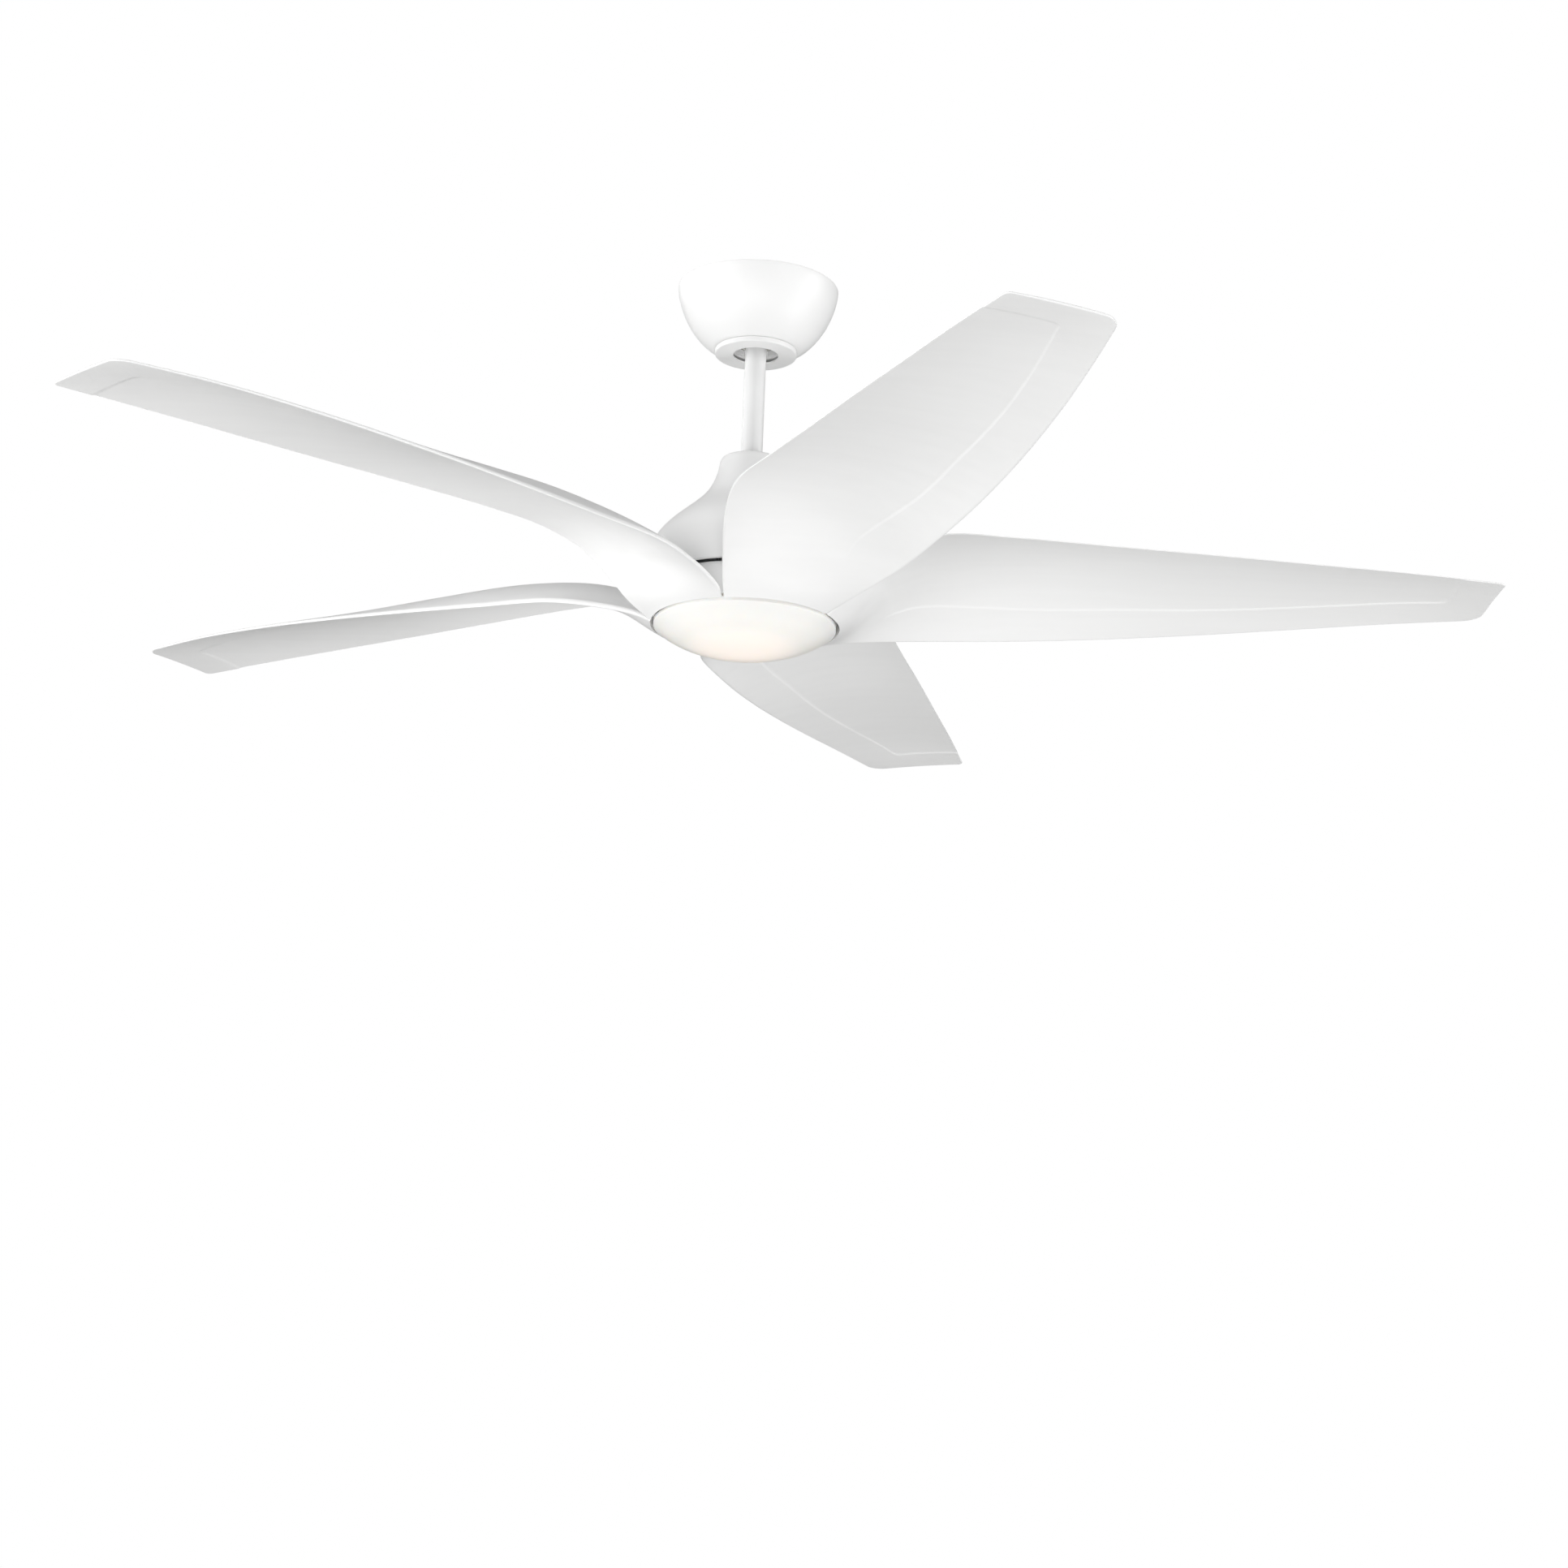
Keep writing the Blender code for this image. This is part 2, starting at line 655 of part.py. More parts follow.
def rotor_can(parent):
    can = [
        (15.3, MOTOR_BOTTOM + 3),
        (15.3, MOTOR_BOTTOM),
        (CAN_R, MOTOR_BOTTOM),
        (CAN_R, MOTOR_TOP - 3 - GAP),
        (CAN_R - 3, MOTOR_TOP - 3 - GAP),
        (CAN_R - 3, MOTOR_BOTTOM + 3),
    ]
    cup = turned("rotor_can", can, "core_steel", parent, SEG)
    turned("rotor_lid", ring_profile(15.3, CAN_R, MOTOR_TOP - 3, MOTOR_TOP), "core_steel", parent, SEG)
    for name, middle in (("upper_bearing", MOTOR_TOP - 4), ("lower_bearing", MOTOR_BOTTOM + 4)):
        bearing = ring_profile(SHAFT_R + GAP, 15.0, middle - 4, middle + 4)
        turned(name, bearing, "zinc_steel", parent, 24)
    magnets = ring_profile(64.0, CAN_R - 3 - GAP, MOTOR_BOTTOM + 8, MOTOR_TOP - 11)
    turned("magnet_ring", magnets, "magnet", parent, SEG)

    drum = [
        (17.0, HUB_TOP - 3),
        (89.5, HUB_TOP - 3),
        (89.5, HUB_BOTTOM),
        (HUB_R, HUB_BOTTOM),
        (HUB_R, HUB_TOP - 0.8),
        (HUB_R - 0.8, HUB_TOP),
        (17.0, HUB_TOP),
    ]
    hub = turned("blade_hub", drum, "white_paint", parent, FINE_SEG)
    places = [polar(50, 45 + 90 * k) for k in range(4)]
    hub_cuts = [post_tool("hole", 2.3, (x, y, -330), (x, y, -310), 12) for x, y in places]
    can_cuts = [post_tool("hole", 2.3, (x, y, -325), (x, y, -310), 12) for x, y in places]
    for start, end, _ in blade_screw_places():
        hub_cuts.append(post_tool("screw_hole", 2.3, start, end))
    combine(hub, hub_cuts, "DIFFERENCE")
    combine(cup, can_cuts, "DIFFERENCE")
    heads = [(x, y, HUB_TOP - 3 - GAP) for x, y in places]
    screws("hub_screw", heads, (0, 0, 1), (4.2, 2.2, 2.0, 10), parent)


def blade_screw_places():
    """Start, end and outward direction of each radial screw hole."""
    places = []
    for blade in range(BLADES):
        for offset in (-12, 12):
            degrees = FIRST_BLADE_DEG + 72 * blade + offset
            start = Vector((*polar(86, degrees), -349))
            end = Vector((*polar(103, degrees), -349))
            places.append((start, end, (end - start).normalized()))
    return places


def spline(values, share):
    """Catmull-Rom value at share (0 to 1) along evenly numbered control values."""
    last = len(values) - 1
    at = share * last
    i = min(int(at), last - 1)
    t = at - i
    p1, p2 = values[i], values[i + 1]
    p0 = values[i - 1] if i else 2 * p1 - p2
    p3 = values[i + 2] if i + 2 <= last else 2 * p2 - p1
    return 0.5 * (
        2 * p1 + (p2 - p0) * t + (2 * p0 - 5 * p1 + 4 * p2 - p3) * t**2 + (3 * p1 - p0 - 3 * p2 + p3) * t**3
    )


# Stations along a blade, from the light's rim to the tip. x runs out along the blade, y is
# across it (the straight edge has y < 0, the curved edge y > 0), z is below the ceiling.
STRAIGHT_EDGE = {
    "x": (77.6, 100, 140, 190, 265, 355, 455, 560, 660, SPAN_R - 4.0),
    "y": (-55.4, -67.2, -83, -92, -90, -89, -89, -88, -87, -85),
    "z": (RIM_Z, -343, -303, -284.5, -282.5, -284.2, -286.5, -289, -291.5, -295),
}
CURVED_EDGE = {
    "x": (77.6, 93, 130, 185, 265, 355, 455, 560, 660, SPAN_R - 4.0),
    "y": (55.4, 65.5, 78.5, 90.2, 90.5, 87.8, 79.6, 65.3, 46, 22.5),
    "z": (RIM_Z, -356, -348, -340, -334.6, -327.6, -319, -310, -302.8, -299),
}
BOW = (17.8, 14, 7, 1, 0, 0, 0, 0, 0, 0)
CAMBER = (0, -2, 5, 14, 20, 17, 11, 8, 6, 1)
STRAIGHT_THICK = (3.0, 3.6, 3.4, 2.6, 2.0, 1.8, 1.7, 1.6, 1.5, 1.4)
CURVED_THICK = (3.0, 4.2, 5.0, 5.0, 4.6, 4.2, 3.7, 3.1, 2.5, 2.0)
MIDDLE_THICK = (0, 0.4, 1.6, 2.8, 3.0, 2.8, 2.4, 2.0, 1.4, 0.8)
ROOT_RISE = (15, 9, 2, 0, 0, 0, 0, 0, 0, 0)
ROOT_INWARD = (2.2, 3.5, 3, 1.5, 0.3, 0, 0, 0, 0, 0)
ROOT_INWARD_MIDDLE = (0, 4, 0, 0, 0, 0, 0, 0, 0, 0)


def corner_cut(distance, radius):
    """How far a rounded corner pulls the side in, at a distance from the blade's end."""
    if distance >= radius:
        return 0.0
    reach = radius - distance
    return radius - math.sqrt(max(radius * radius - reach * reach, 0.0))


def blade_points(share, across):
    """Lower and upper surface points at a share of the span and of the width."""
    lower_straight = Vector([spline(STRAIGHT_EDGE[k], share) for k in "xyz"])
    lower_curved = Vector([spline(CURVED_EDGE[k], share) for k in "xyz"])
    width = lower_curved.y - lower_straight.y
    tip = SPAN_R - 4.0
    cut_straight = corner_cut(tip - lower_straight.x, CORNER_STRAIGHT) / width
    cut_curved = corner_cut(tip - lower_curved.x, CORNER_CURVED) / width
    across = cut_straight + across * (1 - cut_straight - cut_curved)
    hump = 4 * across * (1 - across)
    low = lower_straight.lerp(lower_curved, across)
    low.x += spline(BOW, share) * hump
    low.z += spline(CAMBER, share) * hump
    thick = spline(STRAIGHT_THICK, share) * (1 - across) + spline(CURVED_THICK, share) * across
    inward = spline(ROOT_INWARD, share) + spline(ROOT_INWARD_MIDDLE, share) * hump
    rise = thick + (spline(ROOT_RISE, share) + spline(MIDDLE_THICK, share)) * hump
    flat = Vector((low.x, low.y, 0)).normalized()
    high = low - flat * inward + Vector((0, 0, rise))
    return low, high


def span_shares():
    """Even steps along the span, closing up at the rounded tip."""
    even = [0.93 * k / SPAN_STEPS for k in range(SPAN_STEPS + 1)]
    return even + [0.975, 0.992, 1.0]


def blade_mesh():
    bm = bmesh.new()
    rows = []
    for share in span_shares():
        pairs = [blade_points(share, k / CHORD_STEPS) for k in range(CHORD_STEPS + 1)]
        lows = [bm.verts.new(low) for low, _ in pairs]
        highs = [bm.verts.new(high) for _, high in pairs]
        rows.append(lows + highs[::-1])
    count = len(rows[0])
    for a, b in zip(rows, rows[1:]):
        for k in range(count):
            n = (k + 1) % count
            bm.faces.new((a[k], b[k], b[n], a[n]))
    for row in (rows[0], rows[-1]):
        for k in range(CHORD_STEPS):
            bm.faces.new((row[k], row[k + 1], row[count - 2 - k], row[count - 1 - k]))
    return bm


def blades(parent):
    places = blade_screw_places()
    for blade in range(BLADES):
        bm = blade_mesh()
        turn = Matrix.Rotation(math.radians(FIRST_BLADE_DEG + 72 * blade), 3, "Z")
        bmesh.ops.rotate(bm, matrix=turn, verts=bm.verts)
        made = finish(bm, f"blade_{blade + 1}", "white_blade", parent)
        cuts = [post_tool("hole", 2.3, a, b, 12) for a, b, _ in places[2 * blade : 2 * blade + 2]]
        combine(made, cuts, "DIFFERENCE")
    for number, (start, _, direction) in enumerate(places, 1):
        bm = bmesh.new()
        add_screw(bm, 3.5, 1.0, 2.0, start + direction * 2.6, direction, 13.5)
        finish(bm, f"blade_screw_{number}", "zinc_steel", parent)


# ---------------------------------------------------------------- whole fan


def main():
    clear_scene()
    ceiling_side()
    swing = empty("swing_centre", BALL_Z)
    hanger(swing)
    yoke(swing)
    motor_housing(swing)
    stator(swing)
    light_kit(swing)
    spin = empty("rotor_axis", HUB_TOP, swing)
    rotor_can(spin)
    blades(spin)
    twist = empty("diffuser_axis", RIM_Z, swing)
    diffuser(twist)


main()
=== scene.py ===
"""Looks of the ceiling fan: finished shells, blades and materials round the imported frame.

Sizes are in millimetres, in the frame's own axes (origin at the ceiling, +Z up), and are
scaled by MM when a mesh is made.
"""
import math

import bmesh
import bpy
from mathutils import Matrix, Vector


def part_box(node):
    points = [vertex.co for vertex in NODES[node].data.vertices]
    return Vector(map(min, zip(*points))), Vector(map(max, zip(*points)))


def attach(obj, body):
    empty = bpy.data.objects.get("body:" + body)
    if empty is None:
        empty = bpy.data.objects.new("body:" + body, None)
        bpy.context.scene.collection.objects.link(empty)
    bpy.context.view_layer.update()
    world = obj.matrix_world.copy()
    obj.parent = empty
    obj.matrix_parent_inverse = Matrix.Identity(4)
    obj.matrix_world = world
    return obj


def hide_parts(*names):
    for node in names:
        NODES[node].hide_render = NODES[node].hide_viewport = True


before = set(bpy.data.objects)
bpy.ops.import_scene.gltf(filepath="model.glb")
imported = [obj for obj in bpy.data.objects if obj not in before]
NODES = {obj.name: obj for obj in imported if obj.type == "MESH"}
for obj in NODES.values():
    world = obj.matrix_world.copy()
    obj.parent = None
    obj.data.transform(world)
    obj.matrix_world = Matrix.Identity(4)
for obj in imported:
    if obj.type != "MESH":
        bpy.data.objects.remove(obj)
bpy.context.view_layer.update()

MM = 0.001


def low_z(node):
    """Height of a node's lowest point, in millimetres."""
    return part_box(node)[0].z / MM


def high_z(node):
    """Height of a node's highest point, in millimetres."""
    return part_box(node)[1].z / MM


def outer_radius(node):
    """Largest distance of a turned node from the rod's axis, in millimetres."""
    low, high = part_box(node)
    return max(high.x, -low.x) / MM


# Heights and radii that the frame's nodes give
CANOPY_R = outer_radius("canopy")
FLANGE_Z = low_z("canopy")
RING_R = outer_radius("canopy_ring")
RING_TOP = high_z("canopy_ring")
RING_LOW = low_z("canopy_ring")
ROD_R = outer_radius("downrod")
ROD_TOP = high_z("downrod")
ROD_LOW = low_z("downrod")
BELL_R = outer_radius("motor_housing")
BELL_TOP = high_z("motor_housing")
BELL_LOW = low_z("motor_housing")
HUB_R = outer_radius("blade_hub")
HUB_TOP = high_z("blade_hub")
HUB_LOW = low_z("blade_hub")
DIFFUSER_R = outer_radius("diffuser")
DIFFUSER_LOW = low_z("diffuser")
NECK_TOP = high_z("diffuser")

# Heights and radii that a node's box does not give
RING_HOLE_R = 22.8  # the rod swings in this hole
BALL_Z = -48.0
BALL_R = 19.0
SEAT_R = 21.4
SOCKET_R = 22.2
DOME_DEPTH = 24.0
RIM_Z = -362.5  # where the blade roots meet the light's rim

BLADES = 5
BLADE_STEP_DEG = 360 / BLADES
FIRST_BLADE_DEG = -67.9
TIP_X = 757.1  # a little short of the CAD blade's tip, so that the looks stay in its box

# Sides of each kind of turned piece, and the angle from which an edge stays sharp
TURN_SEG = 144
BALL_SEG = 96
ROD_SEG = 72
SCREW_SEG = 40
HOLE_SEG = 24
SMOOTH_DEG = 35


# ---------------------------------------------------------------- mesh helpers


def made_object(bm, name, smooth_deg=SMOOTH_DEG):
    """Turns a bmesh in millimetres into an object in metres."""
    bmesh.ops.scale(bm, vec=(MM, MM, MM), verts=bm.verts)
    bmesh.ops.recalc_face_normals(bm, faces=bm.faces)
    mesh = bpy.data.meshes.new(name)
    bm.to_mesh(mesh)
    bm.free()
    mesh.shade_smooth()
    mesh.set_sharp_from_angle(angle=math.radians(smooth_deg))
    made = bpy.data.objects.new(name, mesh)
    bpy.context.scene.collection.objects.link(made)
    return made


def place(piece, body, slot, look, *nodes):
    """Gives a piece its material, its body and the nodes it stands for; slot is not used."""
    piece.data.materials.clear()
    piece.data.materials.append(look)
    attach(piece, body)
    if nodes:
        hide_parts(*nodes)
    return piece


def turn_outline(bm, outline, segments, matrix=None):
    """Turns a closed (radius, z) outline about Z; a radius of 0 is a pole."""
    rings = []
    for radius, z in outline:
        if radius < 1e-6:
            rings.append([bm.verts.new((0, 0, z))])
            continue
        ring = []
        for k in range(segments):
            angle = 2 * math.pi * k / segments
            ring.append(bm.verts.new((radius * math.cos(angle), radius * math.sin(angle), z)))
        rings.append(ring)
    for i, a in enumerate(rings):
        b = rings[(i + 1) % len(rings)]
        if len(a) == 1 and len(b) == 1:
            continue
        for k in range(segments):
            n = (k + 1) % segments
            corners = []
            for vert in (a[k % len(a)], a[n % len(a)], b[n % len(b)], b[k % len(b)]):
                if vert not in corners:
                    corners.append(vert)
            bm.faces.new(corners)
    if matrix:
        verts = [vert for ring in rings for vert in ring]
        bmesh.ops.transform(bm, matrix=matrix, verts=verts)


def turned(name, outline, segments=TURN_SEG):
    """An object turned about Z from a closed outline."""
    bm = bmesh.new()
    turn_outline(bm, outline, segments)
    return made_object(bm, name)


def bezier(p0, p1, p2, p3, steps):
    """Points of a cubic curve, without its first point."""
    points = []
    for i in range(1, steps + 1):
        t = i / steps
        a, b, c, d = (1 - t) ** 3, 3 * t * (1 - t) ** 2, 3 * t * t * (1 - t), t**3
        points.append(tuple(a * p0[k] + b * p1[k] + c * p2[k] + d * p3[k] for k in range(2)))
    return points


def arc(centre, radius, start_deg, end_deg, steps):
    """Points of an arc in the (radius, z) plane, ends included."""
    points = []
    for i in range(steps + 1):
        angle = math.radians(start_deg + (end_deg - start_deg) * i / steps)
        points.append((centre[0] + radius * math.cos(angle), centre[1] + radius * math.sin(angle)))
    return points


def inset(path, wall):
    """The path moved inwards by wall, for the inner face of a turned shell."""
    moved = []
    for i, (radius, z) in enumerate(path):
        before = path[max(i - 1, 0)]
        after = path[min(i + 1, len(path) - 1)]
        dr, dz = after[0] - before[0], after[1] - before[1]
        size = math.hypot(dr, dz)
        moved.append((radius + dz / size * wall, z - dr / size * wall))
    return moved


def rounded_band(inner, outer, low, high, round_by, steps):
    """Outline of a ring with four rounded edges."""
    corners = (
        ((inner + round_by, low + round_by), 180, 270),
        ((outer - round_by, low + round_by), 270, 360),
        ((outer - round_by, high - round_by), 0, 90),
        ((inner + round_by, high - round_by), 90, 180),
    )
    outline = []
    for centre, start, end in corners:
        outline += arc(centre, round_by, start, end, steps)
    return outline


def rounded_box(bm, low, high, round_by):
    """A box with rounded edges, in millimetres."""
    size = [high[k] - low[k] for k in range(3)]
    middle = [(high[k] + low[k]) / 2 for k in range(3)]
    cube = bmesh.ops.create_cube(bm, size=1.0)["verts"]
    bmesh.ops.scale(bm, vec=size, verts=cube)
    bmesh.ops.translate(bm, vec=middle, verts=cube)
    edges = list({edge for vert in cube for edge in vert.link_edges})
    bmesh.ops.bevel(
        bm,
        geom=edges,
        offset=round_by,
        offset_type="OFFSET",
        segments=3,
        affect="EDGES",
        profile=0.5,
    )


def boolean(target, tools, operation):
    """Applies Boolean steps to a piece, then removes the tools."""
    for other in tools:
        step = target.modifiers.new(operation.lower(), "BOOLEAN")
        step.operation = operation
        step.solver = "EXACT"
        step.object = other
    bpy.context.view_layer.update()
    solved = bpy.data.meshes.new_from_object(
        target.evaluated_get(bpy.context.evaluated_depsgraph_get())
    )
    target.modifiers.clear()
    target.data = solved
    for other in tools:
        bpy.data.objects.remove(other, do_unlink=True)
    target.data.shade_smooth()
    target.data.set_sharp_from_angle(angle=math.radians(SMOOTH_DEG))
    return target


def box_piece(name, low, high, round_by):
    """A box with rounded edges, as an object."""
    bm = bmesh.new()
    rounded_box(bm, low, high, round_by)
    return made_object(bm, name)


def rod_outline(radius, low, high):
    """Outline of a short round bar with softened ends."""
    round_by = 0.3
    outline = [(0, low)]
    outline += arc((radius - round_by, low + round_by), round_by, 270, 360, 3)
    outline += arc((radius - round_by, high - round_by), round_by, 0, 90, 3)
    return outline + [(0, high)]


# ---------------------------------------------------------------- materials


class Look:
    """A node material round one Principled shader, in object coordinates."""

    def __init__(self, name, colour, roughness, metallic=0.0):
        self.material = bpy.data.materials.new(name)
        self.material.use_nodes = True
        self.nodes = self.material.node_tree.nodes
        self.links = self.material.node_tree.links
        self.shader = self.nodes["Principled BSDF"]
        self.shader.inputs["Base Color"].default_value = (*colour, 1.0)
        self.shader.inputs["Roughness"].default_value = roughness
        self.shader.inputs["Metallic"].default_value = metallic
        self.place = self.nodes.new("ShaderNodeTexCoord").outputs["Object"]
        self.colour = colour
        self.roughness = roughness

    def stretched(self, scale):
        """Object coordinates scaled along each axis."""
        mapping = self.nodes.new("ShaderNodeMapping")
        mapping.inputs["Scale"].default_value = scale
        self.links.new(self.place, mapping.inputs["Vector"])
        return mapping.outputs["Vector"]

    def noise(self, scale, detail=3.0, rough=0.5, vector=None):
        """Cloudy texture, over the whole object or along the given coordinates."""
        node = self.nodes.new("ShaderNodeTexNoise")
        node.inputs["Scale"].default_value = scale
        node.inputs["Detail"].default_value = detail
        node.inputs["Roughness"].default_value = rough
        self.links.new(vector or self.place, node.inputs["Vector"])
        return node.outputs["Fac"]

    def bands(self, scale, distortion=0.0):
        """Level stripes, close together up the object."""
        node = self.nodes.new("ShaderNodeTexWave")
        node.bands_direction = "Z"
        node.inputs["Scale"].default_value = scale
        node.inputs["Distortion"].default_value = distortion
        self.links.new(self.place, node.inputs["Vector"])
        return node.outputs["Fac"]

    def cells(self, scale, output="Distance"):
        """Round grains, as the distance from their middles or as a colour for each."""
        node = self.nodes.new("ShaderNodeTexVoronoi")
        node.inputs["Scale"].default_value = scale
        self.links.new(self.place, node.inputs["Vector"])
        return node.outputs[output]

    def spread(self, value, low, high, from_low=0.3, from_high=0.7):
        """Maps a texture value to a range of numbers."""
        node = self.nodes.new("ShaderNodeMapRange")
        node.inputs["From Min"].default_value = from_low
        node.inputs["From Max"].default_value = from_high
        node.inputs["To Min"].default_value = low
        node.inputs["To Max"].default_value = high
        self.links.new(value, node.inputs["Value"])
        return node.outputs["Result"]

    def tint(self, value, dark, light, from_low=0.3, from_high=0.7):
        """Colours the surface between two colours by a texture value."""
        ramp = self.nodes.new("ShaderNodeValToRGB")
        ramp.color_ramp.elements[0].position = from_low
        ramp.color_ramp.elements[0].color = (*dark, 1.0)
        ramp.color_ramp.elements[1].position = from_high
        ramp.color_ramp.elements[1].color = (*light, 1.0)
        self.links.new(value, ramp.inputs["Fac"])
        self.links.new(ramp.outputs["Color"], self.shader.inputs["Base Color"])

    def shade(self, value, share, from_low=0.3, from_high=0.7):
        """Varies the base colour by a small share either way."""
        dark = tuple(c * (1 - share) for c in self.colour)
        light = tuple(min(1.0, c * (1 + share * 0.5)) for c in self.colour)
        self.tint(value, dark, light, from_low, from_high)

    def gloss(self, value, change):
        """Varies the roughness either way."""
        result = self.spread(value, self.roughness - change, self.roughness + change)
        self.links.new(result, self.shader.inputs["Roughness"])

    def bump(self, value, height_mm, strength=1.0):
        """Stacks a fine relief of the given height on the surface."""
        node = self.nodes.new("ShaderNodeBump")
        node.inputs["Strength"].default_value = strength
        node.inputs["Distance"].default_value = height_mm * MM
        self.links.new(value, node.inputs["Height"])
        above = self.shader.inputs["Normal"]
        if above.is_linked:
            self.links.new(above.links[0].from_socket, node.inputs["Normal"])
        self.links.new(node.outputs["Normal"], above)


def satin_paint(name, colour, roughness, peel_scale=900.0):
    """Sprayed satin paint: faint cloudiness, orange peel and a few fine specks."""
    look = Look(name, colour, roughness)
    look.shader.inputs["Specular IOR Level"].default_value = 0.32
    look.shader.inputs["Coat Weight"].default_value = 0.04
    look.shader.inputs["Coat Roughness"].default_value = 0.3
    look.shade(look.noise(14.0, 4.0), 0.012)
    look.gloss(look.noise(60.0, 3.0), 0.035)
    look.bump(look.noise(peel_scale, 2.0), 0.02, 0.35)
    look.bump(look.noise(90.0, 2.0), 0.02, 0.25)
    return look.material


def blade_plastic():
    """Moulded satin white blade: long faint flow lines along the span and a fine matt grain."""
    look = Look("blade_satin_white", (0.865, 0.865, 0.862), 0.42)
    look.shader.inputs["Specular IOR Level"].default_value = 0.4
    flow = look.noise(9.0, 5.0, 0.55, look.stretched((0.6, 7.0, 7.0)))
    look.shade(flow, 0.014)
    look.gloss(look.noise(45.0, 3.0), 0.04)
    look.bump(flow, 0.05, 0.3)
    look.bump(look.noise(1400.0, 2.0), 0.012, 0.4)
    return look.material


def plated_steel(name, colour=(0.66, 0.67, 0.69), roughness=0.32):
    """Zinc plate: soft spangle, fine brushing and small stains."""
    look = Look(name, colour, roughness, 1.0)
    spangle = look.cells(160.0, "Color")
    look.shade(look.noise(35.0, 4.0), 0.08)
    look.gloss(look.noise(120.0, 4.0), 0.09)
    look.bump(look.noise(40.0, 3.0, 0.6, look.stretched((4.0, 4.0, 60.0))), 0.01, 0.3)
    look.bump(spangle, 0.004, 0.4)
    return look.material


def laminated_steel():
    """A stack of thin core plates: close horizontal lines on dark steel."""
    look = Look("core_laminations", (0.30, 0.31, 0.33), 0.48, 1.0)
    lines = look.bands(320.0)
    look.shade(look.noise(50.0, 4.0), 0.15)
    look.gloss(look.noise(150.0), 0.08)
    look.bump(lines, 0.05, 0.6)
    return look.material


def copper_turns():
    """Lacquered copper wire laid in close turns."""
    look = Look("copper_turns", (0.74, 0.33, 0.15), 0.34, 1.0)
    turns = look.bands(260.0, 0.4)
    look.shade(turns, 0.35, 0.1, 0.9)
    look.gloss(look.noise(200.0), 0.08)
    look.bump(turns, 0.3, 0.8)
    return look.material


def moulded(name, colour, roughness):
    """Injection-moulded plastic: fine spark grain, slight colour drift and flow marks."""
    look = Look(name, colour, roughness)
    look.shade(look.noise(22.0, 4.0), 0.05)
    look.gloss(look.noise(90.0, 3.0), 0.06)
    look.bump(look.noise(700.0, 3.0), 0.03, 0.5)
    return look.material


def ferrite():
    """Pressed magnet: dark sintered grain with bright specks."""
    look = Look("ferrite", (0.11, 0.11, 0.12), 0.5, 0.4)
    look.tint(look.cells(900.0), (0.05, 0.05, 0.055), (0.17, 0.17, 0.18), 0.1, 0.6)
    look.gloss(look.noise(300.0), 0.1)
    look.bump(look.noise(800.0, 4.0), 0.05, 0.6)
    return look.material


def solder_mask():
    """White board lacquer over faint raised copper tracks."""
    look = Look("solder_mask", (0.88, 0.89, 0.88), 0.3)
    tracks = look.cells(55.0)
    look.shade(look.noise(30.0, 3.0), 0.03)
    look.gloss(look.noise(100.0), 0.05)
    look.bump(tracks, 0.06, 0.4)
    return look.material


def cable_jacket():
    """Soft vinyl jacket with faint extrusion lines."""
    look = Look("cable_jacket", (0.42, 0.42, 0.43), 0.55)
    look.shade(look.noise(60.0, 3.0), 0.08)
    look.gloss(look.noise(150.0), 0.06)
    look.bump(look.noise(300.0, 3.0, 0.5, look.stretched((8.0, 8.0, 0.5))), 0.03, 0.5)
    return look.material


# Glow of the opal cover by height: a share of the way from its lowest point to its rim
GLOW_STRENGTH = 0.42
GLOW_LOW = (1.0, 0.76, 0.60)
# Near the rim (the last stop of GLOW_BETWEEN and the rim colour) the glow is cut almost out: painted
# shade in the gap under the blade roots' rim.
GLOW_RIM_PAINTED_SHADE = (0.08, 0.075, 0.07)
GLOW_BETWEEN = ((0.35, (0.30, 0.28, 0.23)), (0.86, (0.08, 0.08, 0.07)))
GLOW_DRIFT_M = 0.004


def opal_glow():
    """Frosted white opal cover, lit from inside: a warmer glow low down, cut almost out near the rim as
    painted shade under the blade roots' rim.
    """
    look = Look("opal_glow", (0.87, 0.865, 0.845), 0.32)
    split = look.nodes.new("ShaderNodeSeparateXYZ")
    look.links.new(look.place, split.inputs["Vector"])
    drift = look.nodes.new("ShaderNodeMath")
    drift.operation = "MULTIPLY_ADD"
    drift.inputs[1].default_value = GLOW_DRIFT_M
    look.links.new(look.noise(12.0, 2.0), drift.inputs[0])
    look.links.new(split.outputs["Z"], drift.inputs[2])
    height = look.spread(drift.outputs["Value"], 0.0, 1.0, DIFFUSER_LOW * MM, RIM_Z * MM)
    glow = look.nodes.new("ShaderNodeValToRGB")
    low, high = glow.color_ramp.elements
    low.color = (*GLOW_LOW, 1.0)
    high.color = (*GLOW_RIM_PAINTED_SHADE, 1.0)
    for position, colour in GLOW_BETWEEN:
        glow.color_ramp.elements.new(position).color = (*colour, 1.0)
    look.links.new(height, glow.inputs["Fac"])
    look.links.new(glow.outputs["Color"], look.shader.inputs["Emission Color"])
    look.shader.inputs["Emission Strength"].default_value = GLOW_STRENGTH
    look.shader.inputs["Subsurface Weight"].default_value = 0.3
    look.shader.inputs["Subsurface Radius"].default_value = (0.004, 0.003, 0.002)
    look.shade(look.noise(40.0, 3.0), 0.01)
    look.gloss(look.noise(80.0, 2.0), 0.03)
    look.bump(look.noise(1500.0, 2.0), 0.01, 0.3)
    return look.material


